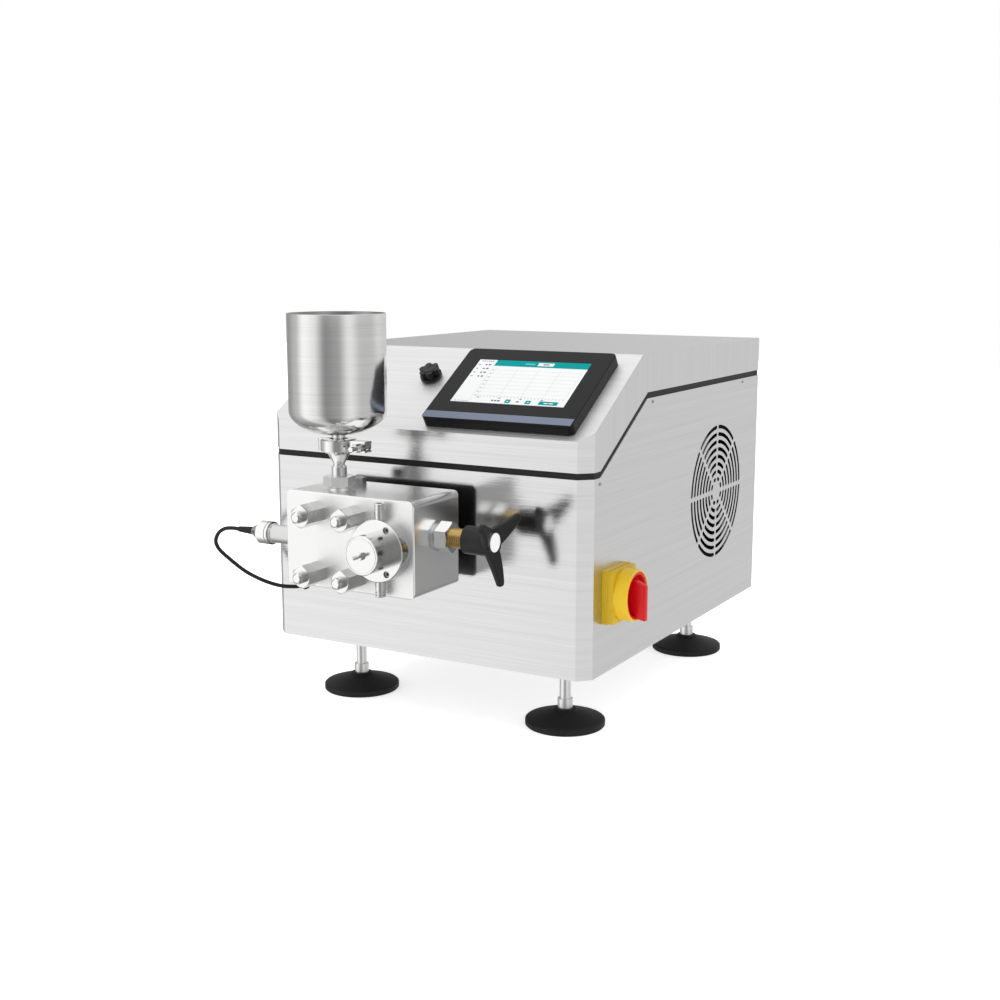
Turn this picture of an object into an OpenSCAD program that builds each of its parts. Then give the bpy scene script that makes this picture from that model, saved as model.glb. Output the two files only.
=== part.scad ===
// Bench-top dairy homogenizer. A sheet-steel housing on levelling feet carries a pump block
// in front, with a hopper clamped on top, a homogenizing valve with a three-wing pressure
// handle, a pressure sensor, a touch panel on the sloping top and a main switch on the side.
// Millimetres, +Z up, the front faces -Y. The origin is the middle of the footprint.

/* [Housing] */
// Width of the housing
body_w = 456; // [420:1:520]
// Depth of the housing
body_d = 558; // [540:1:640]
// Height of the housing above its base
body_h = 371; // [355:1:420]
// Height of the upright front above the base
fascia_h = 281; // [270:1:300]
// Depth of the sloping panel
slant_run = 144; // [136:1:170]
// Width of the cut front corners
corner_cut = 15; // [6:1:24]
// Thickness of the sheet steel
sheet_t = 2; // [1:0.5:3]
// Thickness of the base pan
base_t = 3; // [2:0.5:5]

/* [Cover seam] */
// Height of the seam at the front, above the base
seam_front_h = 237; // [225:1:245]
// Height of the seam at the sides and rear, above the base
seam_rear_h = 317; // [305:1:330]
// Where the seam starts to rise, from the front
seam_rise_start = 30; // [20:1:40]
// Where the seam stops rising, from the front
seam_rise_end = 160; // [150:1:180]
// Height of the gasket strip
gasket_h = 7.5; // [4:0.5:10]
// Depth that the gasket lies behind the sheet's face
gasket_inset = 1; // [0.5:0.25:1.5]
// Width of the gasket ring
gasket_w = 6; // [4:0.5:10]
// Diameter of the small side screws
side_screw_d = 4; // [3:0.5:6]

/* [Feet] */
// Height of the base above the floor
floor_gap = 88; // [75:1:110]
// Distance of the feet from the sides
foot_side = 73.5; // [60:0.5:100]
// Distance of the front feet from the front
foot_front = 90; // [65:1:120]
// Distance of the rear feet from the rear
foot_rear = 72; // [60:1:110]
// Diameter of the foot pad
pad_d = 100; // [70:1:110]
// Height of the upright rim of the pad
pad_rim_h = 9; // [6:0.5:14]
// Height of the pad's cone
pad_cone_h = 13; // [8:0.5:18]
// Diameter of the pad's top
pad_top_d = 26; // [22:0.5:32]
// Diameter of the foot screw
foot_screw_d = 14; // [12:0.5:18]
// Diameter of the collar on the foot screw
foot_collar_d = 19; // [17:0.5:21]
// Height of that collar
foot_collar_h = 12; // [8:0.5:16]

/* [Side vents] */
// Distance of the vent centre from the front
vent_y = 400; // [380:1:420]
// Height of the vent centre above the base
vent_h = 168; // [150:1:185]
// Number of slot rings
vent_rings = 8; // [4:1:8]
// Middle radius of the smallest slot ring
vent_first_r = 17; // [15:0.5:20]
// Step between slot rings
vent_pitch = 10.3; // [9:0.1:11]
// Number of spokes
vent_spokes = 8; // [6:1:8]
// Width of a slot
slot_w = 5.2; // [3:0.1:5.5]
// Width of a spoke
spoke_w = 5; // [3:0.5:5.5]

/* [Touch panel] */
// Middle of the touch panel, right of the housing's middle
hmi_x = 103; // [80:1:110]
// Distance of its lower edge from the slope's lower edge
hmi_low = 9; // [4:1:14]
// Width of the touch panel
hmi_w = 203; // [180:1:210]
// Length of the touch panel up the slope
hmi_l = 143; // [130:1:148]
// Height of its frame above the slope
hmi_t = 14; // [9:0.5:18]
// Corner radius of its frame
hmi_r = 7; // [4:0.5:12]
// Width of the screen
screen_w = 154; // [130:1:160]
// Height of the screen
screen_l = 86; // [70:1:95]
// Distance of the screen from the frame's lower edge
screen_low = 34; // [26:1:38]
// Height of the coloured strip along the lower edge
strip_l = 12.5; // [6:0.5:14]

/* [Control knob] */
// Middle of the knob, right of the housing's middle
knob_x = -37; // [-60:1:-25]
// Distance of the knob from the slope's lower edge
knob_up = 104; // [60:1:120]
// Diameter of the knob over its lobes
knob_d = 27; // [22:0.5:32]
// Height of the knob
knob_h = 13; // [10:0.5:18]
// Number of lobes
knob_lobes = 6; // [5:1:10]

/* [Main switch] */
// Distance of the switch from the front
switch_y = 70; // [64:1:100]
// Height of the switch above the base
switch_h = 93.5; // [70:0.5:110]
// Side of the square plate
switch_plate = 65; // [55:1:75]
// Thickness of each of the plate's two layers
switch_layer = 7; // [4:0.5:9]
// Diameter of the round collar
switch_collar_d = 63; // [50:0.5:72]
// Length of the collar
switch_collar_l = 17; // [12:0.5:20]
// Reach of the grip beyond the collar
switch_grip_out = 12; // [8:0.5:15]
// Thickness of the grip
switch_grip_t = 9; // [7:0.5:12]

/* [Pump block] */
// Width of the pump block
block_w = 180; // [170:1:200]
// Depth of the pump block
block_d = 97; // [90:1:110]
// Height of the pump block
block_h = 113; // [105:1:125]
// Middle of the block, right of the housing's middle
block_x = -22; // [-40:1:0]
// Height of the block's underside above the base
block_low = 104; // [95:1:112]
// Gap between the block and the front panel
block_gap = 20; // [14:1:30]
// Radius of the block's long edges
block_r = 8; // [4:0.5:9]
// Radius of the block's front and rear edges
block_edge_r = 2; // [0.5:0.5:4]

/* [Tie studs] */
// Middle of the stud pattern, right of the housing's middle
stud_x = -39.5; // [-44:0.5:-36]
// Height of the stud pattern's middle above the block's underside
stud_up = 53.5; // [50:0.5:58]
// Step between the studs across
stud_step_x = 55; // [52:1:60]
// Step between the studs upwards
stud_step_z = 71; // [66:1:76]
// Diameter of the studs
stud_d = 14; // [12:0.5:16]
// Width of the stud nuts across the flats
nut_af = 24; // [22:0.5:26]
// Thickness of one stud nut
nut_t = 16; // [12:0.5:18]
// Length of stud beyond the nuts
stud_end = 9; // [7:0.5:14]

/* [Homogenizing valve] */
// Middle of the valve, right of the housing's middle
valve_x = 28; // [24:0.5:32]
// Height of the valve above the block's underside
valve_up = 56; // [52:0.5:60]
// Diameter of the valve flange
flange_d = 72; // [68:1:76]
// Thickness of the valve flange
flange_t = 18; // [16:0.5:24]
// Diameter of the valve cap
cap_d = 45; // [40:0.5:46]
// Length of the valve cap
cap_l = 28.5; // [22:0.5:34]
// Diameter of the flange screws' circle
flange_pcd = 58; // [56.5:0.5:60]
// Diameter of the flange screws' heads
flange_screw_d = 8; // [6:0.5:9]
// Diameter of the two hose nozzles
nozzle_d = 12; // [10:0.5:13]
// Bore of the hose nozzles
nozzle_bore = 7; // [4:0.5:8]
// Length of the hose nozzles outside the flange
nozzle_l = 18; // [14:0.5:26]
// Length of the small nipple on the cap
nipple_l = 16; // [12:0.5:20]

/* [Pressure handle] */
// Distance of the handle's axis behind the block's front
spindle_back = 52; // [48:0.5:56]
// Height of the handle's axis above the block's underside
spindle_up = 65.5; // [62:0.5:70]
// Diameter of the washer under the spindle nut
spindle_washer_d = 33; // [30:0.5:36]
// Thickness of that washer
spindle_washer_t = 4; // [2:0.5:5]
// Width of the spindle nut across the flats
spindle_nut_af = 32; // [30:0.5:36]
// Thickness of the spindle nut
spindle_nut_t = 16; // [13:0.5:20]
// Diameter of the brass spindle
spindle_d = 23; // [18:0.5:24]
// Length of brass showing between the nut and the handle
spindle_show = 18; // [12:0.5:22]
// Diameter of the handle's hub
hub_d = 33; // [29:0.5:38]
// Length of the handle's hub
hub_l = 25; // [16:0.5:28]
// Thickness of the handle's middle
handle_t = 12.5; // [11:0.5:18]
// Length of a wing from the axis to its tip
wing_l = 50; // [42:0.5:56]
// Width of a wing's tip
wing_tip_w = 9; // [7:0.5:12]
// Thickness of a wing's tip
wing_tip_t = 9; // [7:0.5:12]
// Distance that a wing's tip stands in front of the middle
wing_sweep = 12; // [4:0.5:14]
// Diameter of the handle's round inset
inset_d = 22; // [18:0.5:24]
// Travel of the spindle
spindle_travel = 6; // [4:0.5:8]

/* [Pressure sensor] */
// Distance of the sensor behind the block's front
sensor_back = 49; // [44:0.5:54]
// Height of the sensor above the block's underside
sensor_up = 46; // [42:0.5:50]
// Diameter of the sensor's body
sensor_d = 23; // [19:0.5:26]
// Length of the sensor's body
sensor_l = 60; // [50:1:70]
// Diameter of the sensor's union ring
sensor_ring_d = 29; // [27:0.5:33]
// Length of the union ring
sensor_ring_l = 18; // [12:0.5:22]
// Length of the tapered end
sensor_taper_l = 12; // [8:0.5:16]
// Diameter of the taper's small end
sensor_tip_d = 12; // [10.5:0.5:14]
// Length of the cable's bend protector
boot_l = 24; // [16:0.5:30]
// Diameter of the sensor cable
cable_d = 5; // [4:0.5:5.5]

/* [Hopper] */
// Distance of the hopper's axis behind the block's front
inlet_back = 35; // [32:0.5:38]
// Middle of the hopper, right of the housing's middle
inlet_x = -59; // [-62:0.5:-56]
// Outside diameter of the hopper
hopper_d = 115; // [100:1:130]
// Height of the hopper's upright wall
hopper_wall_h = 112; // [90:1:150]
// Depth of the hopper's dished bottom
hopper_dish_h = 30; // [24:1:36]
// Thickness of the hopper's wall
hopper_t = 1.5; // [1:0.25:2.5]
// Outside diameter of the outlet pipe
pipe_d = 16; // [14:0.5:18]
// Bore of the outlet pipe
pipe_bore = 12; // [9:0.5:12.5]
// Length of pipe showing above the clamp
pipe_show = 4; // [2:0.5:8]
// Diameter of the pipe flanges in the clamp
ferrule_d = 34; // [31:0.5:36]
// Outside diameter of the clamp
clamp_d = 43; // [42:0.5:48]
// Height of the clamp
clamp_h = 17; // [15:0.5:20]
// Reach of the clamp's lugs from the axis
clamp_lug = 42; // [40:0.5:46]
// Height of the cone below the clamp
reducer_h = 14; // [10:0.5:18]
// Height of the straight tail below the cone
tail_h = 12; // [9:0.5:16]
// Diameter of that tail
tail_d = 18; // [17:0.5:20]
// Width of the inlet nut across the flats
inlet_nut_af = 33; // [30:0.5:34]
// Height of the inlet nut
inlet_nut_h = 12; // [10:0.5:15]
// Height of the union between the nut and the block
union_h = 4; // [3:0.5:6]
// Step from the inlet nut back to the delivery plug
plug_step = 37; // [33:0.5:42]
// Height of the delivery plug
plug_h = 9; // [7:0.5:13]
// Width of the plug's hexagon across its flats
plug_af = 18; // [16:0.5:24]

/* [Drive] */
// Diameter of the plunger
plunger_d = 20; // [16:0.5:22]
// Stroke of the plunger
plunger_stroke = 20; // [12:1:24]
// Diameter of the plunger housing
neck_d = 50; // [46:0.5:52]
// Width of the crankcase
crank_w = 190; // [180:1:200]
// Depth of the crankcase
crank_d = 170; // [160:1:190]
// Height of the crankcase
crank_h = 220; // [215:1:228]
// Diameter of the crankcase's drive shaft
crank_shaft_d = 30; // [25:1:35]
// Diameter of the large pulley
big_pulley_d = 160; // [140:1:170]
// Diameter of the motor pulley
small_pulley_d = 80; // [70:1:90]
// Width of the pulleys
pulley_w = 20; // [16:1:22]
// Diameter of the motor
motor_d = 150; // [130:1:160]
// Length of the motor
motor_l = 230; // [200:1:240]
// Diameter of the motor's shaft
motor_shaft_d = 24; // [19:1:28]
// Side of the square fan
fan_side = 182; // [172:1:190]
// Depth of the fan
fan_depth = 38; // [32:1:42]

/* [Hidden] */
$fn = 64;

// Colours as the finishes show them
steel_bright = [0.86, 0.86, 0.85];
steel_sheet = [0.78, 0.78, 0.78];
steel_dark = [0.55, 0.56, 0.57];
black_plastic = [0.06, 0.06, 0.06];
black_rubber = [0.10, 0.10, 0.10];
switch_yellow = [0.95, 0.78, 0.08];
switch_red = [0.80, 0.05, 0.07];
brass_yellow = [0.78, 0.62, 0.30];
cast_grey = [0.45, 0.48, 0.50];

// Fits: running fit of a shaft, slip fit of parts that stay put, room around a pin in sheet
running = 0.05;
slip = 0.1;
room = 0.5;
// Length that a cutter runs past the face it cuts
past = 1;

// Levels and places worked out from the sizes above
base_z = floor_gap;
pan_z = base_z + base_t;
slope = (body_h - fascia_h) / slant_run;
slant = atan(slope);
block_front = -(block_gap + block_d);
block_z = base_z + block_low;
block_top = block_z + block_h;
block_left = block_x - block_w / 2;
block_right = block_x + block_w / 2;
valve_z = block_z + valve_up;
valve_face = block_front - flange_t;
cap_face = valve_face - cap_l;
stud_z = block_z + stud_up;
spindle_y = block_front + spindle_back;
spindle_z = block_z + spindle_up;
sensor_y = block_front + sensor_back;
sensor_z = block_z + sensor_up;
inlet_y = block_front + inlet_back;
crank_gap = 18;
crank_front = sheet_t + crank_gap;
crank_half = 75;
crank_x = inlet_x - crank_half;
crank_shaft_y = crank_front + crank_d / 2;
crank_up = 115;
crank_shaft_z = base_z + crank_up;
motor_foot_h = 12;
motor_y = 405;
motor_z = pan_z + motor_foot_h + motor_d / 2;
pulley_gap = 8;
pulley_x = crank_x - pulley_gap - pulley_w;
fan_x = body_w / 2 - sheet_t - fan_depth;
gland_out = 22;
gland_x = 150;
gland_h = 60;
switch_x = body_w / 2;
switch_face = switch_x + 2 * switch_layer;
switch_front = switch_face + switch_collar_l;

// The row frame's origin is the middle of the footprint, without the cable
right_reach = switch_front + switch_grip_out;
left_reach = body_w / 2;
front_reach = nipple_l - cap_face;
rear_reach = body_d + gland_out;
mid_x = (right_reach - left_reach) / 2;
mid_y = (rear_reach - front_reach) / 2;

// Route of the sensor cable: a loop out of the sensor's end, then in to the grommet
grommet_x = -177;
grommet_h = 70;
cable_out = [[0, 0, 0], [-12, 0, 0], [-24, 0, -2], [-36, 2, -9], [-43, 4, -20], [-42, 8, -31], [-32, 14, -43]];
cable_in = [[-60, -46, 20], [-38, -38, 9], [-19, -30, 3], [-7, -21, 1], [-1, -10, 0], [0, 4, 0]];

module placed() {
    translate([-mid_x, -mid_y, 0]) children();
}

// A flat outline in the Y-Z plane, made thick along X
module along_x(x0, x1) {
    translate([x0, 0, 0]) rotate([90, 0, 90]) linear_extrude(x1 - x0) children();
}

// A flat outline in the X-Z plane, made thick along Y
module along_y(y0, y1) {
    translate([0, y1, 0]) rotate([90, 0, 0]) linear_extrude(y1 - y0) children();
}

module x_rod(d, x0, x1) {
    translate([x0, 0, 0]) rotate([0, 90, 0]) cylinder(d = d, h = x1 - x0);
}

module y_rod(d, y0, y1) {
    translate([0, y0, 0]) rotate([-90, 0, 0]) cylinder(d = d, h = y1 - y0);
}

module z_rod(d, z0, z1) {
    translate([0, 0, z0]) cylinder(d = d, h = z1 - z0);
}

// A profile of radius and length, turned about an axis along -Y
module turned_front() {
    rotate([90, 0, 0]) rotate_extrude() children();
}

// A profile of radius and length, turned about an axis along X, from left to right
module turned_right() {
    rotate([0, 90, 0]) rotate_extrude() children();
}

module rounded_rect(w, l, r) {
    square([w - 2 * r, l], center = true);
    square([w, l - 2 * r], center = true);
    for (x = [-1, 1], y = [-1, 1]) translate([x * (w / 2 - r), y * (l / 2 - r)]) circle(r);
}

module ring_outline(r_out, r_in) {
    difference() {
        circle(r_out);
        circle(r_in);
    }
}

module hex_bar(af, h) {
    cylinder(d = af / cos(30), h = h, $fn = 6);
}

// A hexagon head along +Z, its corners turned off on the outer end
module turned_hex(af, h) {
    corner = af / cos(30);
    turn = (corner - af) * 0.3;
    intersection() {
        hex_bar(af, h);
        union() {
            cylinder(d = corner + past, h = h - turn);
            translate([0, 0, h - turn]) cylinder(d1 = corner, d2 = af * 0.96, h = turn);
        }
    }
}

module turned_nut(af, h, bore) {
    difference() {
        turned_hex(af, h);
        translate([0, 0, -past]) cylinder(d = bore, h = h + 2 * past);
    }
}

// Housing outline seen from above, moved inwards by a depth
function plan_points(depth) =
    let (
        side = body_w / 2,
        cut = corner_cut + depth * (sqrt(2) - 1)
    )
    [
        [-(side - cut), depth], [side - cut, depth], [side - depth, cut],
        [side - depth, body_d - depth], [depth - side, body_d - depth], [depth - side, cut]
    ];

module plan_block(depth, z0, z1) {
    translate([0, 0, z0]) linear_extrude(z1 - z0) polygon(plan_points(depth));
}

// The seam seen from the side, raised by a height
function seam_points(up) = [
    [-past, base_z + seam_front_h + up],
    [seam_rise_start, base_z + seam_front_h + up],
    [seam_rise_end, base_z + seam_rear_h + up],
    [body_d + past, base_z + seam_rear_h + up]
];

// Outline of the top seen from the side, moved inwards by a depth
function roof_points(depth) =
    let (drop = depth / cos(slant))
    [
        [body_d + past, base_z + body_h - depth],
        [(body_h - fascia_h - depth + drop) / slope, base_z + body_h - depth],
        [-past, base_z + fascia_h - past * slope - drop]
    ];

module lower_wall() {
    intersection() {
        difference() {
            plan_block(0, base_z, base_z + body_h);
            plan_block(sheet_t, base_z - past, base_z + body_h + past);
        }
        along_x(-body_w / 2 - past, body_w / 2 + past)
            polygon(concat(seam_points(0), [[body_d + past, base_z - past], [-past, base_z - past]]));
    }
}

// The part of the lower wall between two depths
module wall_between(y0, y1, x0, x1) {
    intersection() {
        lower_wall();
        translate([x0, y0, base_z - past]) cube([x1 - x0, y1 - y0, body_h + 2 * past]);
    }
}

// Rings of slots between the spokes, their round ends a little wider than the slots
slot_swell = 0.3;

module vent_outline() {
    step = 360 / vent_spokes;
    far = vent_first_r + vent_rings * vent_pitch;
    for (i = [0 : vent_rings - 1], k = [0 : vent_spokes - 1]) {
        r = vent_first_r + i * vent_pitch;
        start = asin((spoke_w + slot_w) / 2 / r);
        end = step - start;
        rotate(k * step) {
            intersection() {
                ring_outline(r + slot_w / 2, r - slot_w / 2);
                polygon([[0, 0], 2 * far * [cos(start), sin(start)], 2 * far * [cos(end), sin(end)]]);
            }
            for (turn = [start, end]) rotate(turn) translate([r, 0]) circle(d = slot_w + slot_swell);
        }
    }
}

// Small screws that hold the side panels, at the seam
side_screw_places = [
    [body_d - 65, seam_rear_h - 5], [seam_rise_end + 16, seam_rear_h - 5],
    [seam_rise_start - 1, seam_front_h - 7]
];

module at_side_screws() {
    for (p = side_screw_places) translate([0, p[0], base_z + p[1]]) children();
}

module at_studs() {
    for (x = [-1, 1], z = [-1, 1])
        translate([stud_x + x * stud_step_x / 2, 0, stud_z + z * stud_step_z / 2]) children();
}

module at_plunger() {
    translate([inlet_x, 0, stud_z]) children();
}

module at_grommet() {
    translate([grommet_x, 0, base_z + grommet_h]) children();
}

module at_valve() {
    translate([valve_x, 0, valve_z]) children();
}

module at_spindle() {
    translate([0, spindle_y, spindle_z]) children();
}

module at_sensor() {
    translate([0, sensor_y, sensor_z]) children();
}

module at_inlet(up) {
    translate([inlet_x, inlet_y, block_top + up]) children();
}

module at_switch() {
    translate([0, switch_y, base_z + switch_h]) children();
}

// The sloping panel: local X to the right, Y up the slope, Z out of its face
module on_slant(x, up) {
    translate([x, 0, base_z + fascia_h]) rotate([slant, 0, 0]) translate([0, up, 0]) children();
}

// Housing sheets
grommet_d = 12;
grommet_groove_d = 9;

module front_panel() {
    color(steel_sheet) placed() difference() {
        wall_between(-past, corner_cut, -body_w, body_w);
        at_plunger() y_rod(neck_d + 2 * room, -past, sheet_t + past);
        at_studs() y_rod(stud_d + 2 * room, -past, sheet_t + past);
        at_grommet() y_rod(grommet_groove_d, -past, sheet_t + past);
    }
}

// One side seen along X, with its vent and the holes of its screws
module side_outline() {
    difference() {
        intersection() {
            polygon(concat(seam_points(0), [[body_d + past, base_z], [-past, base_z]]));
            translate([corner_cut, base_z]) square([body_d - sheet_t - corner_cut, body_h]);
        }
        translate([vent_y, base_z + vent_h]) vent_outline();
        for (p = side_screw_places) translate([p[0], base_z + p[1]]) circle(d = side_screw_d * 0.6);
    }
}

module right_side_panel() {
    color(steel_sheet) placed() along_x(body_w / 2 - sheet_t, body_w / 2) difference() {
        side_outline();
        translate([switch_y, base_z + switch_h]) circle(d = switch_shaft_d + 2 * room);
    }
}

module left_side_panel() {
    color(steel_sheet) placed() along_x(-body_w / 2, sheet_t - body_w / 2) side_outline();
}

module rear_panel() {
    color(steel_sheet) placed() difference() {
        wall_between(body_d - sheet_t, body_d + past, -body_w, body_w);
        translate([gland_x, 0, base_z + gland_h]) y_rod(gland_thread_d, body_d - sheet_t - past, body_d + past);
    }
}

weld_nut_af = 22;
weld_nut_h = 12;

module base_pan() {
    color(steel_sheet) placed() difference() {
        union() {
            plan_block(sheet_t, base_z, pan_z);
            at_feet() translate([0, 0, pan_z]) hex_bar(weld_nut_af, weld_nut_h);
        }
        at_feet() z_rod(foot_screw_d + 2 * slip, base_z - past, pan_z + weld_nut_h + past);
    }
}

module top_cover() {
    low = base_z + seam_front_h - past;
    color(steel_sheet) placed() difference() {
        intersection() {
            plan_block(0, low, base_z + body_h);
            along_x(-body_w, body_w) polygon(concat(seam_points(gasket_h), roof_points(0)));
        }
        intersection() {
            plan_block(sheet_t, low - past, base_z + body_h);
            along_x(-body_w, body_w)
                polygon(concat([[-past, low - past], [body_d + past, low - past]], roof_points(sheet_t)));
        }
        on_slant(hmi_x, hmi_low + hmi_l / 2)
            translate([0, 0, -2 * sheet_t]) linear_extrude(3 * sheet_t)
                square([hmi_w - 2 * hmi_lip, hmi_l - 2 * hmi_lip], center = true);
        on_slant(knob_x, knob_up) z_rod(knob_thread_d, -2 * sheet_t, sheet_t);
    }
}

module cover_gasket() {
    color(black_rubber) placed() intersection() {
        difference() {
            plan_block(gasket_inset, base_z, base_z + body_h);
            plan_block(gasket_inset + gasket_w, base_z - past, base_z + body_h + past);
        }
        along_x(-body_w, body_w) polygon(concat(seam_points(0), reversed(seam_points(gasket_h))));
    }
}

function reversed(list) = [for (i = [len(list) - 1 : -1 : 0]) list[i]];

module side_screws() {
    head_t = 0.6;
    shank = 6;
    color(steel_dark) placed() for (side = [-1, 1]) at_side_screws()
        rotate(90 - side * 90) translate([body_w / 2, 0, 0]) {
            x_rod(side_screw_d, 0, head_t);
            x_rod(side_screw_d * 0.6 - slip, -shank, 0);
        }
}

// Touch panel on the slope
hmi_lip = 8;
hmi_bevel = 0.8;
hmi_case_depth = 32;
hmi_case_gap = 0.5;
screen_depth = 1.2;
screen_t = 1;
strip_t = 0.4;
strip_margin = 1.5;

module at_screen() {
    translate([0, screen_low + screen_l / 2 - hmi_l / 2, hmi_t]) children();
}

module at_strip() {
    translate([0, (strip_l - hmi_l) / 2 + strip_margin, hmi_t]) children();
}

module hmi_frame() {
    case_w = hmi_w - 2 * hmi_lip - 2 * hmi_case_gap;
    case_l = hmi_l - 2 * hmi_lip - 2 * hmi_case_gap;
    color(black_plastic) placed() on_slant(hmi_x, hmi_low + hmi_l / 2) difference() {
        union() {
            linear_extrude(hmi_t - hmi_bevel) rounded_rect(hmi_w, hmi_l, hmi_r);
            hull() {
                translate([0, 0, hmi_t - hmi_bevel]) linear_extrude(0.01) rounded_rect(hmi_w, hmi_l, hmi_r, $fn = 32);
                translate([0, 0, hmi_t - 0.01])
                    linear_extrude(0.01) rounded_rect(hmi_w - hmi_bevel * 2, hmi_l - hmi_bevel * 2, hmi_r, $fn = 32);
            }
            translate([0, 0, -hmi_case_depth]) linear_extrude(hmi_case_depth) square([case_w, case_l], center = true);
        }
        at_screen() translate([0, 0, -screen_depth])
            linear_extrude(screen_depth + past) square([screen_w + 2 * slip, screen_l + 2 * slip], center = true);
        at_strip() translate([0, 0, -strip_t])
            linear_extrude(strip_t + past) square([hmi_w - 2 * strip_margin, strip_l + 2 * slip], center = true);
    }
}

module hmi_screen() {
    color([0.93, 0.95, 0.95]) placed() on_slant(hmi_x, hmi_low + hmi_l / 2) at_screen()
        translate([0, 0, -screen_depth]) linear_extrude(screen_t) square([screen_w, screen_l], center = true);
}

module hmi_strip() {
    color([0.45, 0.49, 0.57]) placed() on_slant(hmi_x, hmi_low + hmi_l / 2) at_strip()
        translate([0, 0, -strip_t]) linear_extrude(strip_t)
            square([hmi_w - 2 * strip_margin - 2 * slip, strip_l], center = true);
}

// Control knob with its bush
knob_thread_d = 10;
knob_shaft_d = 6;
knob_skirt_h = 3;
bush_d = 18;
bush_h = 2.5;
pot_d = 24;
pot_h = 12;
shaft_in = 8;

module control_knob() {
    lobe = knob_d * 0.16;
    skirt_rim = 0.5;
    crown = 1;
    mark_w = 1.2;
    color(black_plastic) placed() on_slant(knob_x, knob_up) translate([0, 0, bush_h + slip]) difference() {
        union() {
            cylinder(d = knob_d + 2 * skirt_rim, h = knob_skirt_h);
            linear_extrude(knob_h - crown) {
                circle(d = knob_d * 0.76);
                for (k = [0 : knob_lobes - 1])
                    rotate(k * 360 / knob_lobes) translate([knob_d / 2 - lobe, 0]) circle(lobe);
            }
            translate([0, 0, knob_h - crown]) cylinder(d1 = knob_d * 0.7, d2 = knob_d * 0.6, h = crown);
            z_rod(knob_shaft_d, -shaft_in, 0);
        }
        translate([-mark_w / 2, mark_w, knob_h - 1.4 * crown]) cube([mark_w, knob_d, 2 * crown]);
    }
}

module knob_bush() {
    color(steel_dark) placed() on_slant(knob_x, knob_up) difference() {
        union() {
            z_rod(bush_d, 0, bush_h);
            z_rod(knob_thread_d - 2 * slip, -sheet_t, 0);
            z_rod(pot_d, -sheet_t - pot_h, -sheet_t);
        }
        z_rod(knob_shaft_d + 2 * running, -shaft_in - past, bush_h + past);
    }
}

// Main switch on the right side
switch_shaft_d = 10;
switch_rim = 3;
switch_turn_gap = 0.3;

module switch_plate() {
    step = 1.5;
    color(switch_yellow) placed() at_switch() difference() {
        union() {
            along_x(switch_x, switch_x + switch_layer) rounded_rect(switch_plate, switch_plate, 4);
            along_x(switch_x + switch_layer, switch_face)
                rounded_rect(switch_plate - step, switch_plate - step, 4);
        }
        x_rod(switch_shaft_d + 2 * running, switch_x - past, switch_face + past);
    }
}

module switch_collar() {
    inner = switch_collar_d - 2 * switch_rim;
    color(switch_yellow) placed() at_switch() translate([switch_face, 0, 0]) turned_right() polygon([
        [inner / 2, 0], [switch_collar_d / 2, 0], [switch_collar_d / 2 - 0.5, switch_collar_l - 1],
        [switch_collar_d / 2 - 1.5, switch_collar_l], [inner / 2, switch_collar_l]
    ]);
}

module switch_handle() {
    disc_r = switch_collar_d / 2 - switch_rim - switch_turn_gap;
    wall = 3;
    floor_x = switch_face + 4;
    lip = switch_front - 0.5;
    tip = switch_front + switch_grip_out;
    low = -switch_collar_d / 2 + 1.5;
    shaft_in = 12;
    color(switch_red) placed() at_switch() {
        difference() {
            x_rod(2 * disc_r, switch_face + switch_turn_gap, lip);
            x_rod(2 * (disc_r - wall), floor_x, lip + past);
        }
        translate([0, switch_grip_t / 2, 0]) along_y(-switch_grip_t, 0) polygon([
            [floor_x - past, disc_r - wall], [lip, disc_r - wall], [tip - 2, disc_r * 0.55],
            [tip, disc_r * 0.42], [tip, low + 2], [tip - 2, low], [switch_front + switch_turn_gap, low],
            [switch_front + switch_turn_gap, wall - disc_r], [floor_x - past, wall - disc_r]
        ]);
        x_rod(switch_shaft_d, switch_x - sheet_t - shaft_in, switch_face + past);
    }
}

// Fan behind the right vent
fan_duct_d = fan_side - 14;
fan_hub_d = 72;
fan_rotor_d = fan_duct_d - 6;
fan_blades = 7;
fan_shaft_d = 8;
fan_back_t = 6;

module at_fan() {
    translate([fan_x, vent_y, base_z + vent_h]) children();
}

module fan_rim() {
    difference() {
        rounded_rect(fan_side, fan_side, 8);
        circle(d = fan_duct_d);
    }
}

module fan_frame() {
    strut_w = 8;
    color(black_plastic) placed() at_fan() {
        along_x(0, fan_back_t) difference() {
            union() {
                fan_rim();
                circle(d = fan_hub_d);
                for (turn = [45, 135]) rotate(turn) square([strut_w, fan_duct_d + 2 * past], center = true);
            }
            circle(d = fan_shaft_d + 2 * running);
        }
        along_x(fan_back_t, fan_depth) fan_rim();
    }
}

module fan_rotor() {
    hub_l = fan_depth - fan_back_t - 4;
    blade_t = 2.5;
    blade_w = 30;
    pitch = 42;
    color(black_plastic) placed() at_fan() {
        x_rod(fan_shaft_d, 0, fan_back_t + past);
        x_rod(fan_hub_d, fan_back_t + 0.5, fan_back_t + 0.5 + hub_l);
        intersection() {
            x_rod(fan_rotor_d, fan_back_t + 1, fan_depth - 1);
            for (k = [0 : fan_blades - 1]) rotate([k * 360 / fan_blades, 0, 0])
                translate([fan_depth / 2 + 2, 0, fan_hub_d / 2 - 3]) rotate([0, 0, pitch])
                    translate([-blade_w / 2, -blade_t / 2, 0]) cube([blade_w, blade_t, fan_rotor_d / 2]);
        }
    }
}

// Levelling feet
foot_ball_d = 11;
foot_ball_h = 9;
foot_top = pan_z + weld_nut_h + 3;
foot_places = [
    ["fl", -1, foot_front], ["fr", 1, foot_front],
    ["rl", -1, body_d - foot_rear], ["rr", 1, body_d - foot_rear]
];

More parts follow.
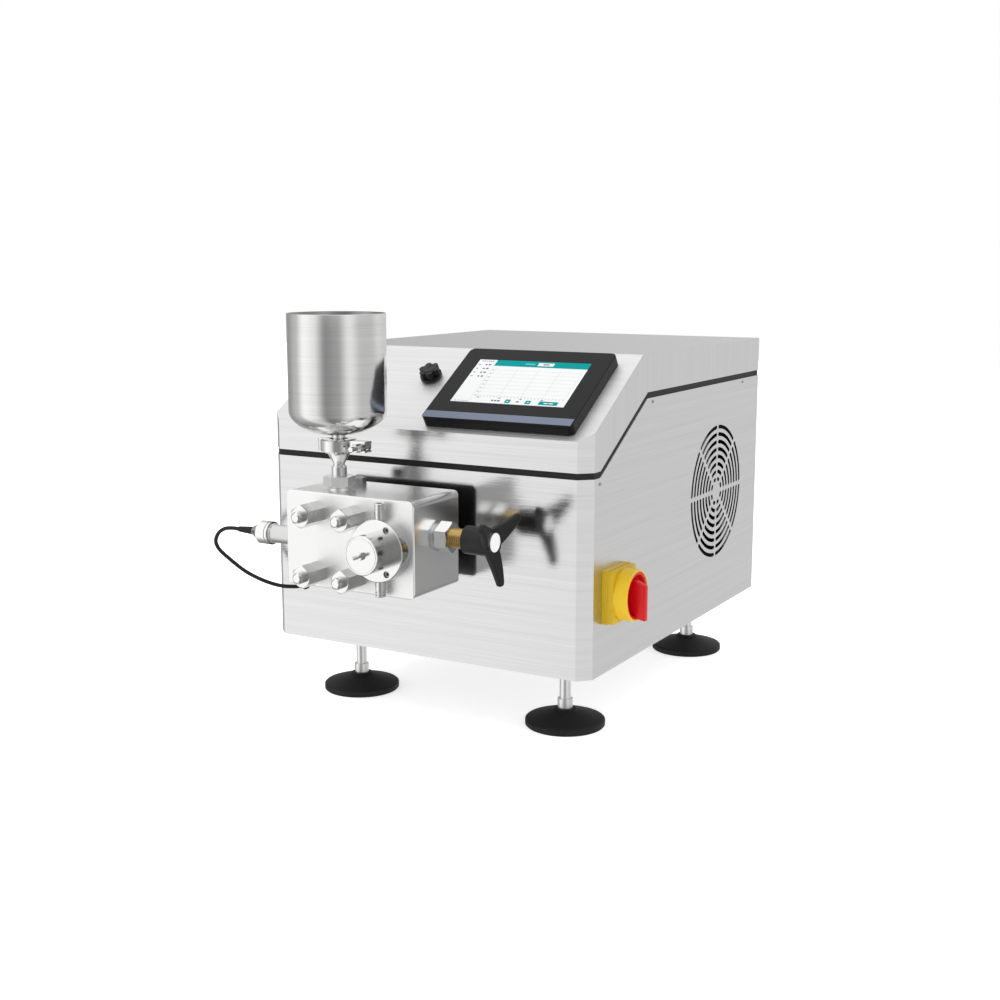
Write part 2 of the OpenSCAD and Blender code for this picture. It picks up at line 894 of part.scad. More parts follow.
module at_foot(side, y) {
    translate([side * (body_w / 2 - foot_side), y, 0]) children();
}

module at_feet() {
    for (p = foot_places) at_foot(p[1], p[2]) children();
}

module foot_pad(i) {
    top = pad_rim_h + pad_cone_h;
    bevel = 1.5;
    color(black_rubber) placed() at_foot(foot_places[i][1], foot_places[i][2]) difference() {
        rotate_extrude() polygon([
            [0, 0], [pad_d / 2 - bevel, 0], [pad_d / 2, bevel], [pad_d / 2, pad_rim_h - bevel],
            [pad_d / 2 - bevel, pad_rim_h], [pad_top_d / 2 + 3, top - 3], [pad_top_d / 2, top], [0, top]
        ]);
        z_rod(foot_ball_d + 2 * running, top - foot_ball_h - slip, top + past);
    }
}

module foot_screws() {
    seat = pad_rim_h + pad_cone_h + slip;
    color(steel_bright) placed() at_feet() {
        z_rod(foot_ball_d, seat - foot_ball_h, seat);
        z_rod(foot_collar_d, seat, seat + foot_collar_h);
        z_rod(foot_screw_d, seat + foot_collar_h, foot_top);
    }
}

// Pump block with its bores
sensor_thread_d = 12;
sensor_thread_l = 12;
union_thread_d = 18;
union_thread_l = 12;
plug_thread_d = 14;
plug_thread_l = 12;
rod_d = 12;
rod_in = 58;
valve_bore_d = 30;
valve_bore_l = 30;
plunger_in = 50;
chamber_d = plunger_d + 2;
chamber_l = plunger_in + plunger_stroke + 8;

// The milled blank: rounded seen from the front, with its front and rear edges broken all round
module block_blank() {
    intersection() {
        translate([block_x, 0, block_z + block_h / 2])
            along_y(block_front, -block_gap) rounded_rect(block_w, block_h, block_r);
        translate([0, block_front + block_d / 2, block_z + block_h / 2])
            along_x(block_left - past, block_right + past) rounded_rect(block_d, block_h, block_edge_r);
        translate([block_x, block_front + block_d / 2, block_z])
            linear_extrude(block_h) rounded_rect(block_w, block_d, block_edge_r);
    }
}

module pump_block() {
    color(steel_bright) placed() difference() {
        block_blank();
        at_studs() y_rod(stud_d + 2 * slip, block_front - past, past - block_gap);
        at_plunger() y_rod(chamber_d, -block_gap - chamber_l, past - block_gap);
        at_valve() y_rod(valve_bore_d, block_front - past, block_front + valve_bore_l);
        at_spindle() x_rod(rod_d + 2 * running, block_right - rod_in - spindle_travel - 2, block_right + past);
        at_flange_screws() y_rod(screw_shank_d + 2 * slip, block_front - past, block_front + screw_in + past);
        at_sensor() x_rod(sensor_thread_d + 2 * slip, block_left - past, block_left + sensor_thread_l + past);
        at_inlet(0) {
            z_rod(union_thread_d + 2 * slip, -union_thread_l - past, past);
            z_rod(pipe_bore, stud_z - block_top, past);
            translate([0, plug_step, 0]) {
                z_rod(plug_thread_d + 2 * slip, -plug_thread_l - past, past);
                z_rod(pipe_bore, stud_z - block_top, past);
            }
        }
    }
}

packing_d = 34;
packing_l = 14;

module plunger_housing() {
    color(steel_bright) placed() at_plunger() difference() {
        y_rod(neck_d, -block_gap, crank_front);
        y_rod(plunger_d + 2 * room, -block_gap - past, crank_front + past);
        y_rod(packing_d, -block_gap - past, packing_l - block_gap);
    }
}

module plunger_packing() {
    color(black_rubber) placed() at_plunger() difference() {
        y_rod(packing_d - 2 * slip, -block_gap, packing_l - block_gap);
        y_rod(plunger_d + 2 * running, -block_gap - past, packing_l - block_gap + past);
    }
}

plunger_out = 60;

module plunger() {
    color([0.92, 0.92, 0.90]) placed() at_plunger()
        y_rod(plunger_d, -block_gap - plunger_in, crank_front + plunger_out);
}

// Tie studs that hold the block to the crankcase
stud_in = 25;
stud_front = block_front - 2 * nut_t - stud_end;

module tie_studs() {
    dome = 3;
    color(steel_bright) placed() at_studs() {
        y_rod(stud_d, stud_front + dome, crank_front + stud_in);
        translate([0, stud_front + dome, 0]) turned_front() polygon([
            [0, 0], [stud_d / 2, 0], [stud_d / 2 - 0.8, dome * 0.6], [stud_d / 2 - 2.5, dome], [0, dome]
        ]);
    }
}

module stud_nuts() {
    color(steel_bright) placed() at_studs() for (i = [0, 1])
        translate([0, block_front - i * nut_t, 0]) rotate([90, 30, 0]) turned_nut(nut_af, nut_t, stud_d + 2 * slip);
}

// Homogenizing valve on the block's front
spigot_d = 30;
spigot_l = 6;
screw_turns = [60, 180, 300];
screw_shank_d = 5;
screw_head_h = 6;
screw_sink = 2;
screw_in = 10;
nozzle_back = 9;
nozzle_in = 8;
nozzle_neck = 0.5;
nozzle_neck_l = 1;
nipple_thread_d = 5;
tell_tale_d = 6;
tommy_d = 5;
tommy_back = 7;

module at_flange_screws() {
    at_valve() for (turn = screw_turns) rotate([0, -turn, 0]) translate([flange_pcd / 2, 0, 0]) children();
}

module at_nozzles() {
    at_valve() for (turn = [0, 180])
        translate([0, block_front - nozzle_back, 0]) rotate([0, turn, 0]) translate([0, 0, flange_d / 2]) children();
}

module valve_flange() {
    edge = 1;
    color(steel_bright) placed() difference() {
        at_valve() translate([0, block_front, 0]) turned_front() polygon([
            [spigot_d / 2 + slip, 0], [flange_d / 2, 0], [flange_d / 2, flange_t - edge],
            [flange_d / 2 - edge, flange_t], [spigot_d / 2 + slip, flange_t]
        ]);
        at_flange_screws() {
            y_rod(flange_screw_d + 2 * slip, valve_face - past, valve_face + screw_sink + screw_head_h);
            y_rod(screw_shank_d + 2 * slip, valve_face, block_front + past);
        }
        at_nozzles() z_rod(nozzle_d - 2 * nozzle_neck + 2 * slip, -nozzle_in, past);
        at_valve() translate([0, block_front - nozzle_back, 0]) x_rod(tell_tale_d, flange_d / 2 - 6, flange_d / 2 + past);
    }
}

module valve_cap() {
    edge = 0.8;
    groove_r = cap_d / 2 - 2.6;
    color(steel_bright) placed() difference() {
        union() {
            at_valve() translate([0, valve_face, 0]) turned_front() polygon([
                [0, 0], [cap_d / 2, 0], [cap_d / 2, cap_l - edge], [cap_d / 2 - edge, cap_l],
                [groove_r + 0.5, cap_l], [groove_r + 0.3, cap_l - 0.5], [groove_r - 0.3, cap_l - 0.5],
                [groove_r - 0.5, cap_l], [0, cap_l]
            ]);
            at_valve() y_rod(spigot_d, valve_face, valve_face + spigot_l);
        }
        at_valve() {
            y_rod(nipple_thread_d + 2 * slip, cap_face - past, cap_face + 8);
            for (turn = [0 : 90 : 270]) rotate([0, turn, 0]) translate([0, cap_face + tommy_back, 0])
                x_rod(tommy_d, cap_d / 2 - 5, cap_d / 2 + past);
        }
    }
}

module flange_screws() {
    socket_af = 4;
    color(steel_dark) placed() at_flange_screws() difference() {
        union() {
            y_rod(flange_screw_d, valve_face + screw_sink, valve_face + screw_sink + screw_head_h);
            y_rod(screw_shank_d, valve_face + screw_sink + screw_head_h, block_front + screw_in);
        }
        translate([0, valve_face + screw_sink + 3, 0]) rotate([90, 0, 0]) hex_bar(socket_af, 3 + past);
    }
}

module cap_nipple() {
    hex_l = 4;
    barb = [for (i = [0 : 2]) each [[1.4, hex_l + 3 + i * 3], [2.4, hex_l + 3 + i * 3], [1.5, hex_l + 5.4 + i * 3]]];
    color(steel_bright) placed() at_valve() translate([0, cap_face, 0]) {
        rotate([90, 0, 0]) hex_bar(8, hex_l);
        turned_front() polygon(concat(
            [[0, hex_l], [2, hex_l], [2, hex_l + 1.5], [1.4, hex_l + 2]], barb,
            [[1.2, nipple_l - 0.6], [0.8, nipple_l], [0, nipple_l]]
        ));
        y_rod(nipple_thread_d, 0, 7);
    }
}

module valve_nozzles() {
    r = nozzle_d / 2;
    neck = nozzle_neck;
    groove = 0.7;
    color(steel_bright) placed() at_nozzles() rotate_extrude() polygon([
        [nozzle_bore / 2, -nozzle_in], [r - neck, -nozzle_in], [r - neck, nozzle_neck_l], [r, nozzle_neck_l],
        [r, nozzle_l - 7], [r - groove, nozzle_l - 6.4],
        [r - groove, nozzle_l - 5.8], [r, nozzle_l - 5.2], [r, nozzle_l - 3.6], [r - groove, nozzle_l - 3],
        [r - groove, nozzle_l - 2.4], [r, nozzle_l - 1.8], [r, nozzle_l - 0.6], [r - 0.6, nozzle_l],
        [nozzle_bore / 2, nozzle_l]
    ]);
}

// Pressure spindle and handle on the block's right
washer_x = block_right + spindle_washer_t;
nut_x = washer_x + spindle_nut_t;
hub_x = nut_x + spindle_show;
wing_x = hub_x + hub_l;
handle_face = wing_x + handle_t;
spindle_in = spindle_nut_t - spindle_travel;
spindle_end = nut_x - spindle_in;
hub_bore = 10;
wing_turns = [0, 120, 240];
inset_t = 0.6;

module spindle_washer() {
    groove = 0.6;
    t = spindle_washer_t;
    r = spindle_washer_d / 2;
    color(steel_bright) placed() at_spindle() translate([block_right, 0, 0]) turned_right() polygon([
        [spindle_d / 2 + running, 0], [r, 0], [r, t * 0.35], [r - groove, t * 0.45], [r - groove, t * 0.55],
        [r, t * 0.65], [r, t], [spindle_d / 2 + running, t]
    ]);
}

module spindle_nut() {
    color(steel_bright) placed() at_spindle() translate([washer_x, 0, 0]) rotate([0, 90, 0])
        turned_nut(spindle_nut_af, spindle_nut_t, spindle_d + 2 * running);
}

module thrust_rod() {
    color(steel_bright) placed() at_spindle() x_rod(rod_d, block_right - rod_in, spindle_end);
}

module brass_spindle() {
    flute = 0.5;
    r = spindle_d / 2;
    color(brass_yellow) placed() at_spindle() translate([spindle_end, 0, 0]) turned_right() polygon(concat(
        [[0, 0], [r, 0], [r, nut_x - spindle_end]],
        [for (x = [nut_x - spindle_end + 1.2 : 2.4 : hub_x - spindle_end - 1.2]) each [[r - flute, x], [r, x + 1.2]]],
        [[r, hub_x - spindle_end + hub_bore], [0, hub_x - spindle_end + hub_bore]]
    ));
}

// One wing: a broad root at the hub drawn out to a narrow raised tip
module wing(turn) {
    root_d = hub_d * 0.82;
    tip_x = handle_face + wing_sweep - wing_tip_t;
    rotate([turn, 0, 0]) hull($fn = 32) {
        x_rod(root_d, wing_x + 1, handle_face - 1.5);
        translate([0, 0, -wing_l + wing_tip_w / 2]) {
            x_rod(wing_tip_w - 2, tip_x, handle_face + wing_sweep);
            x_rod(wing_tip_w, tip_x + 1.5, handle_face + wing_sweep - 1.5);
        }
    }
}

module pressure_handle() {
    edge = 1;
    color(black_plastic) placed() at_spindle() difference() {
        union() {
            translate([hub_x, 0, 0]) turned_right() polygon([
                [0, 0], [hub_d / 2 - edge, 0], [hub_d / 2, edge], [hub_d / 2, hub_l + handle_t - 4],
                [hub_d / 2 - 3, hub_l + handle_t], [0, hub_l + handle_t]
            ]);
            for (turn = wing_turns) wing(turn);
        }
        x_rod(spindle_d + 2 * slip, hub_x - past, hub_x + hub_bore + slip);
        translate([handle_face - inset_t, 0, 0]) x_rod(inset_d + 2 * slip, 0, wing_sweep + 2);
    }
}

module handle_inset() {
    color("white") placed() at_spindle() x_rod(inset_d, handle_face - inset_t, handle_face);
}

// Pressure sensor on the block's left
ring_x = block_left - sensor_l;
taper_x = ring_x - sensor_ring_l;
boot_x = taper_x - sensor_taper_l;
boot_big_d = 10;
boot_small_d = 7;

module turned_left() {
    rotate([0, -90, 0]) rotate_extrude() children();
}

module sensor_body() {
    edge = 1.2;
    color(steel_bright) placed() at_sensor() {
        translate([block_left, 0, 0]) turned_left() polygon([
            [0, 0], [sensor_d / 2, 0], [sensor_d / 2, sensor_l - 4], [sensor_d / 2 + edge, sensor_l - 2.5],
            [sensor_d / 2 + edge, sensor_l], [0, sensor_l]
        ]);
        x_rod(sensor_thread_d, block_left, block_left + sensor_thread_l);
    }
}

module sensor_union() {
    r = sensor_ring_d / 2;
    groove = 0.8;
    l = sensor_ring_l;
    color(steel_bright) placed() at_sensor() translate([ring_x, 0, 0]) turned_left() polygon([
        [0, 0], [r, 0], [r, 2.5], [r - groove, 3], [r - groove, 4], [r, 4.5], [r, l - 1],
        [r - 1, l], [r - 2.5, l + 1.5], [sensor_tip_d / 2 + 0.5, l + sensor_taper_l - 1],
        [sensor_tip_d / 2, l + sensor_taper_l], [0, l + sensor_taper_l]
    ]);
}

module cable_boot() {
    color(black_rubber) placed() at_sensor() translate([boot_x, 0, 0]) turned_left() polygon([
        [0, 0], [boot_big_d / 2, 0], [boot_big_d / 2, 3], [boot_small_d / 2, boot_l], [0, boot_l]
    ]);
}

// Sensor cable: a round tube swept along its route
cable_sides = 10;
cable_steps = 3;

function spline(p0, p1, p2, p3, t) =
    0.5 * (2 * p1 + (p2 - p0) * t + (2 * p0 - 5 * p1 + 4 * p2 - p3) * t * t
        + (3 * p1 - p0 - 3 * p2 + p3) * t * t * t);

function route_point(list, i) =
    i < 0 ? 2 * list[0] - list[1]
    : i >= len(list) ? 2 * list[len(list) - 1] - list[len(list) - 2]
    : list[i];

function smooth_route(list) = concat(
    [for (i = [0 : len(list) - 2], s = [0 : cable_steps - 1])
        spline(route_point(list, i - 1), list[i], list[i + 1], route_point(list, i + 2), s / cable_steps)],
    [list[len(list) - 1]]
);

function unit(v) = v / norm(v);

// Ring of points around one place of the route, square to its direction
function cable_ring(place, direction) =
    let (
        across = unit(cross(direction, [0.3, 1, 0.2])),
        upward = cross(across, direction)
    )
    [for (k = [0 : cable_sides - 1])
        place + cable_d / 2 * (across * cos(k * 360 / cable_sides) + upward * sin(k * 360 / cable_sides))];

module sensor_cable() {
    from = [boot_x - boot_l, sensor_y, sensor_z];
    to = [grommet_x, 0, base_z + grommet_h];
    path = smooth_route(concat([for (p = cable_out) from + p], [for (p = cable_in) to + p]));
    last = len(path) - 1;
    rings = [for (i = [0 : last])
        cable_ring(path[i], unit(path[min(i + 1, last)] - path[max(i - 1, 0)]))];
    sides = [for (i = [0 : last - 1], k = [0 : cable_sides - 1])
        let (n = (k + 1) % cable_sides)
        [i * cable_sides + k, i * cable_sides + n, (i + 1) * cable_sides + n, (i + 1) * cable_sides + k]];
    ends = [
        [for (k = [cable_sides - 1 : -1 : 0]) k],
        [for (k = [0 : cable_sides - 1]) last * cable_sides + k]
    ];
    color(black_rubber) placed() polyhedron(points = [for (r = rings) each r], faces = concat(sides, ends));
}

module cable_grommet() {
    lip = 2;
    color(black_rubber) placed() at_grommet() difference() {
        union() {
            y_rod(grommet_d, -lip, 0);
            y_rod(grommet_groove_d - 2 * slip, 0, sheet_t);
            y_rod(grommet_d, sheet_t, sheet_t + lip);
        }
        y_rod(cable_d + 2 * slip, -lip - past, sheet_t + lip + past);
    }
}

// Inlet stack on the block's top, from the block upwards
union_top = union_h + inlet_nut_h * 0.65;
nut_top = union_h + inlet_nut_h;
tail_top = nut_top + tail_h;
clamp_low = tail_top + reducer_h + 1;
clamp_mid = clamp_low + clamp_h / 2;
clamp_top = clamp_low + clamp_h;
hopper_low = clamp_top + pipe_show;
hopper_rim = hopper_low + hopper_dish_h + hopper_wall_h;
union_male_d = 22;
union_washer_d = 26;
ferrule_rim = 2.6;
ferrule_back = (ferrule_d - pipe_d) / 2 * tan(20);
seal_t = 1;
nut_turn = -23;

module hopper() {
    steps = 10;
    r = hopper_d / 2;
    inner = r - hopper_t;
    bend = [for (i = [1 : steps - 1]) i * 90 / steps];
    outside = [for (a = bend) if (r * sin(a) > pipe_d / 2 + past)
        [r * sin(a), hopper_low + hopper_dish_h * (1 - cos(a))]];
    inside = [for (a = bend) if (inner * sin(a) > pipe_bore / 2 + past)
        [inner * sin(a), hopper_low + hopper_t + (hopper_dish_h - hopper_t) * (1 - cos(a))]];
    color(steel_bright) placed() at_inlet(0) rotate_extrude() polygon(concat(
        [
            [pipe_bore / 2, clamp_mid + seal_t / 2], [ferrule_d / 2, clamp_mid + seal_t / 2],
            [ferrule_d / 2, clamp_mid + ferrule_rim], [pipe_d / 2, clamp_mid + ferrule_rim + ferrule_back],
            [pipe_d / 2, hopper_low + 0.6]
        ],
        outside,
        [[r, hopper_low + hopper_dish_h], [r, hopper_rim], [inner, hopper_rim], [inner, hopper_low + hopper_dish_h]],
        reversed(inside),
        [[pipe_bore / 2, hopper_low + hopper_t]]
    ));
}

module inlet_adapter() {
    throat = pipe_bore + 1.5;
    color(steel_bright) placed() at_inlet(0) rotate_extrude() polygon([
        [pipe_bore / 2, union_top], [tail_d / 2, union_top], [tail_d / 2, tail_top - 2],
        [throat / 2, tail_top + 1], [throat / 2, tail_top + 2.5], [pipe_d * 0.8, clamp_low - 1.5],
        [pipe_d * 0.8, clamp_low - 0.5], [pipe_d / 2, clamp_low - 0.5],
        [pipe_d / 2, clamp_mid - ferrule_rim - ferrule_back], [ferrule_d / 2, clamp_mid - ferrule_rim],
        [ferrule_d / 2, clamp_mid - seal_t / 2], [pipe_bore / 2, clamp_mid - seal_t / 2]
    ]);
}

module inlet_union() {
    washer_t = 1.8;
    color(steel_bright) placed() at_inlet(0) rotate_extrude() polygon([
        [pipe_bore / 2, -union_thread_l], [union_thread_d / 2, -union_thread_l], [union_thread_d / 2, 0],
        [union_washer_d / 2, 0], [union_washer_d / 2, washer_t], [union_male_d / 2 - 1, washer_t + 0.2],
        [union_male_d / 2 - 1, union_h], [union_male_d / 2, union_h], [union_male_d / 2, union_top],
        [pipe_bore / 2, union_top]
    ]);
}

module inlet_nut() {
    color(steel_bright) placed() at_inlet(union_h) difference() {
        rotate(nut_turn) turned_nut(inlet_nut_af, inlet_nut_h, tail_d + 2 * slip);
        z_rod(union_male_d + 2 * slip, -past, union_top - union_h + slip);
    }
}

module clamp_seal() {
    color([0.9, 0.9, 0.88]) placed() at_inlet(clamp_mid - seal_t / 2)
        linear_extrude(seal_t) ring_outline(ferrule_d / 2 - 1, pipe_bore / 2);
}

// Hinged clamp around the two pipe flanges
jaw_gap = 1.6;
jaw_play = 0.4;
lug_t = 6;
lug_slot = 7;
bolt_d = 6;
bolt_x = clamp_lug - 8;
knuckle_d = 9;
hinge_x = -clamp_d / 2 - 2.5;
hinge_pin_d = 4;
knuckle_h = clamp_h * 0.26;

module jaw_half() {
    inner = pipe_d / 2 + 3;
    groove = ferrule_d / 2 + jaw_play;
    rim = ferrule_rim + jaw_play;
    half = clamp_h / 2;
    back = rim + (groove - inner) * tan(20);
    r = clamp_d / 2;
    rotate([0, 0, 180]) rotate_extrude(angle = 180) polygon([
        [inner, half], [r - 1.5, half], [r, half - 1.5], [r, 3 - half], [r - 6, -half], [inner, -half],
        [inner, -back], [groove, -rim], [groove, rim], [inner, back]
    ]);
}

module jaw_lug() {
    low = clamp_d / 2 - 4;
    difference() {
        translate([low, -jaw_gap / 2 - lug_t, 3 - clamp_h / 2]) cube([clamp_lug - low, lug_t, clamp_h - 4]);
        translate([clamp_d / 2 + 3, -jaw_gap / 2 - lug_t - past, -lug_slot / 2])
            cube([clamp_lug, lug_t + 2 * past, lug_slot]);
    }
}

module knuckle(z0, z1) {
    translate([hinge_x, 0, 0]) difference() {
        union() {
            z_rod(knuckle_d, z0, z1);
            translate([0, -knuckle_d / 2, z0]) cube([5, knuckle_d / 2 - jaw_gap / 2, z1 - z0]);
        }
        z_rod(hinge_pin_d + 2 * running, z0 - past, z1 + past);
    }
}

module clamp_jaws() {
    half = clamp_h / 2 - 1;
    color(steel_bright) placed() at_inlet(clamp_mid) {
        difference() {
            union() {
                jaw_half();
                jaw_lug();
            }
            translate([-clamp_d, -jaw_gap / 2, -clamp_h]) cube([2 * clamp_d + 2 * clamp_lug, clamp_d, 2 * clamp_h]);
            translate([hinge_x, 0, 0]) z_rod(knuckle_d + 2 * slip, -knuckle_h - slip, knuckle_h + slip);
        }
        knuckle(knuckle_h, half);
        knuckle(-half, -knuckle_h);
        mirror([0, 1, 0]) {
            difference() {
                union() {
                    jaw_half();
                    jaw_lug();
                }
                translate([-clamp_d, -jaw_gap / 2, -clamp_h]) cube([2 * clamp_d + 2 * clamp_lug, clamp_d, 2 * clamp_h]);
                for (z = [[knuckle_h, clamp_h], [-clamp_h, -knuckle_h]])
                    translate([hinge_x, 0, 0]) z_rod(knuckle_d + 2 * slip, z[0] - slip, z[1] + slip);
            }
            knuckle(slip - knuckle_h, knuckle_h - slip);
        }
    }
}

bolt_head_d = 10;
bolt_front = 24;

module clamp_bolt() {
    head_t = 4;
    back = jaw_gap / 2 + lug_t;
    color(steel_bright) placed() at_inlet(clamp_mid) {
        translate([bolt_x, 0, 0]) {
            y_rod(bolt_d, -bolt_front, back);
            y_rod(bolt_head_d, back, back + head_t);
        }
        translate([hinge_x, 0, 0]) z_rod(hinge_pin_d, 1 - clamp_h / 2, clamp_h / 2 - 1);
    }
}

wing_nut_h = 9;

module wing_nut() {
    hub = 11;
    seat = jaw_gap / 2 + lug_t;
    color(steel_bright) placed() at_inlet(clamp_mid) translate([bolt_x, -seat - slip, 0]) rotate([90, 0, 0]) difference() {
        union() {
            cylinder(d1 = hub, d2 = hub - 2, h = wing_nut_h);
            for (side = [0, 180]) rotate([0, 0, side]) along_y(-1.5, 1.5) polygon([
                [3, 0], [hub / 2 + 2, 1], [13, 9], [12.5, 14], [9, 15], [hub / 2, wing_nut_h], [3, wing_nut_h]
            ]);
        }
        translate([0, 0, -past]) cylinder(d = bolt_d + 2 * running, h = 20);
    }
}

module delivery_plug() {
    color(steel_dark) placed() at_inlet(0) translate([0, plug_step, 0]) {
        rotate(nut_turn) turned_hex(plug_af, plug_h);
        z_rod(plug_thread_d, -plug_thread_l, 0);
    }
}

// Drive inside the housing
module crankcase() {
    flange_h = 14;
    lid_h = 10;
    foot_w = 18;
    color(cast_grey) placed() difference() {
        union() {
            translate([crank_x + crank_w / 2, crank_front + crank_d / 2, pan_z]) {
                linear_extrude(flange_h) rounded_rect(crank_w, crank_d, 10);
                translate([0, 0, flange_h]) linear_extrude(crank_h - flange_h - lid_h)
                    rounded_rect(crank_w - foot_w, crank_d, 10);
                translate([0, 0, crank_h - lid_h]) linear_extrude(lid_h)
                    rounded_rect(crank_w - foot_w - 6, crank_d - 6, 10);
            }
            translate([0, crank_shaft_y, crank_shaft_z]) x_rod(70, crank_x, crank_x + foot_w);
        }
        at_plunger() y_rod(plunger_d + 2 * running, crank_front - past, crank_front + plunger_out + past);
        at_studs() y_rod(stud_d + 2 * slip, crank_front - past, crank_front + stud_in + past);
        translate([0, crank_shaft_y, crank_shaft_z]) x_rod(crank_shaft_d + 2 * running, crank_x - past, crank_x + shaft_hold);
    }
}

shaft_hold = 60;
motor_x = crank_x + 15;

module motor() {
    rib_h = 5;
    ribs = 16;
    box = 70;
    color(cast_grey) placed() translate([0, motor_y, motor_z]) difference() {
        union() {
            x_rod(motor_d - 2 * rib_h, motor_x + 12, motor_x + motor_l);
            x_rod(motor_d, motor_x, motor_x + 14);
            x_rod(motor_d, motor_x + motor_l - 40, motor_x + motor_l);
            intersection() {
                x_rod(motor_d, motor_x, motor_x + motor_l);
                for (k = [0 : ribs - 1]) rotate([k * 360 / ribs, 0, 0])
                    translate([motor_x, -1.5, 0]) cube([motor_l, 3, motor_d / 2]);
            }
            for (side = [-1, 1]) translate([motor_x + 30, side * motor_d / 2 - 20, pan_z - motor_z])
                cube([motor_l - 90, 40, motor_foot_h]);
            for (side = [-1, 1]) translate([motor_x + 30, side * motor_d * 0.36 - 7, pan_z - motor_z])
                cube([motor_l - 90, 14, motor_d * 0.35]);
            translate([motor_x + 60, -box / 2, motor_d / 2 - 12]) cube([box, box, 40]);
        }
        x_rod(motor_shaft_d + 2 * running, motor_x - past, motor_x + shaft_hold);
    }
}

groove_h = 8;

// A grooved pulley along X on a shaft that runs to the right
module pulley(d, shaft_d, shaft_end) {
    w = pulley_w;
    difference() {
        translate([pulley_x, 0, 0]) turned_right() polygon([
            [0, 0], [d / 2, 0], [d / 2, 2.5], [d / 2 - groove_h, 4], [d / 2 - groove_h, w - 4],
            [d / 2, w - 2.5], [d / 2, w], [0, w]
        ]);
        for (face = [[pulley_x - past, pulley_x + 4], [pulley_x + w - 4, pulley_x + w + past]])
            difference() {
                x_rod(d - 2 * groove_h - 12, face[0], face[1]);
                x_rod(shaft_d + 16, face[0] - past, face[1] + past);
            }
    }
    x_rod(shaft_d, pulley_x + w / 2, shaft_end);
}

module crank_pulley() {
    color(cast_grey) placed() translate([0, crank_shaft_y, crank_shaft_z])
        pulley(big_pulley_d, crank_shaft_d, crank_x + shaft_hold - past);
}

module motor_pulley() {
    color(cast_grey) placed() translate([0, motor_y, motor_z])
        pulley(small_pulley_d, motor_shaft_d, motor_x + shaft_hold - past);
}

// Outline of a belt around both pulleys, its inner face a height above the grooves
module belt_outline(up) {
    hull() {
        translate([crank_shaft_y, crank_shaft_z]) circle(big_pulley_d / 2 - groove_h + up);
        translate([motor_y, motor_z]) circle(small_pulley_d / 2 - groove_h + up);
    }
}

module drive_belt() {
    belt_t = 6;
    up = 0.5;
    color(black_rubber) placed() along_x(pulley_x + 4.5, pulley_x + pulley_w - 4.5) difference() {
        belt_outline(belt_t);
        belt_outline(up);
    }
}

// Cable gland for the supply at the rear
gland_thread_d = 20;

module mains_gland() {
    color(black_plastic) placed() translate([gland_x, body_d, base_z + gland_h]) rotate([-90, 0, 0]) difference() {
        union() {
            hex_bar(24, 6);
            rotate_extrude() polygon([
                [0, 6], [10.5, 6], [10.5, gland_out - 6], [7.5, gland_out], [0, gland_out]
            ]);
            z_rod(gland_thread_d - 2 * slip, -sheet_t - 8, 0);
            translate([0, 0, -sheet_t - 5]) hex_bar(26, 5);
        }
        z_rod(9, -sheet_t - 10, gland_out + past);
    }
}

front_panel();
right_side_panel();
left_side_panel();
rear_panel();
base_pan();
top_cover();
cover_gasket();
side_screws();
hmi_frame();
hmi_screen();
hmi_strip();
control_knob();
knob_bush();
switch_plate();
switch_collar();
switch_handle();
fan_frame();
fan_rotor();
foot_pad(0);  // foot_pad_fl
foot_pad(1);  // foot_pad_fr
foot_pad(2);  // foot_pad_rl
foot_pad(3);  // foot_pad_rr
foot_screws();
pump_block();
plunger_housing();
plunger_packing();
plunger();
tie_studs();
stud_nuts();
valve_flange();
valve_cap();
flange_screws();
cap_nipple();
valve_nozzles();
spindle_washer();
spindle_nut();
thrust_rod();
brass_spindle();
pressure_handle();
handle_inset();
sensor_body();
sensor_union();
cable_boot();
sensor_cable();
cable_grommet();
hopper();
inlet_adapter();
inlet_union();
inlet_nut();
clamp_seal();
clamp_jaws();
clamp_bolt();
wing_nut();
delivery_plug();
crankcase();
motor();
crank_pulley();
motor_pulley();
drive_belt();
mains_gland();
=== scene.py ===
# %% [markdown]
# # A bench-top dairy homogenizer
# This machine presses milk through a narrow valve, so that its fat stays finely spread. Its solids
# come from a CAD model, in metres, and stay where they are. This lesson dresses them: it sets up
# the camera, models the pieces that need a smoother or finer form than the solids have, gives
# every surface its finish and lights the whole in a white studio.

# %% Load the frame
import bpy
import bmesh
import math
from mathutils import Matrix, Vector


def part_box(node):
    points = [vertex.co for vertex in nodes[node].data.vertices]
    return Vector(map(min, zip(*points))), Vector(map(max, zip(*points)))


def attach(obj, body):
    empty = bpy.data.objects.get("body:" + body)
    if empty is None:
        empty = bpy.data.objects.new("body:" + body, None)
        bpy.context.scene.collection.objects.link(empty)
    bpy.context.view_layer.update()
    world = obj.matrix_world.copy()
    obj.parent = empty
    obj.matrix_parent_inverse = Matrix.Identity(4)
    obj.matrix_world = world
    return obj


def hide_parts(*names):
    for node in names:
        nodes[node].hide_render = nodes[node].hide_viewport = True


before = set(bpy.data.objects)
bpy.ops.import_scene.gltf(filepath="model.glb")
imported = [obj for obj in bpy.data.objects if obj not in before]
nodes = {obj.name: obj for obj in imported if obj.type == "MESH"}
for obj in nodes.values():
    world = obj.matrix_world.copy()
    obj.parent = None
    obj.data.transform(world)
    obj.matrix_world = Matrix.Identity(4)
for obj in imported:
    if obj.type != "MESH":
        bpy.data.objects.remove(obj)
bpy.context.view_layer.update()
scene = bpy.context.scene

# %% [markdown]
# Sizes are easier to read from the machine itself than from the middle of its footprint. `at`
# takes millimetres: to the right of the housing's middle, behind the front panel's face, and
# above the floor. The front panel's own box says where the first two start.

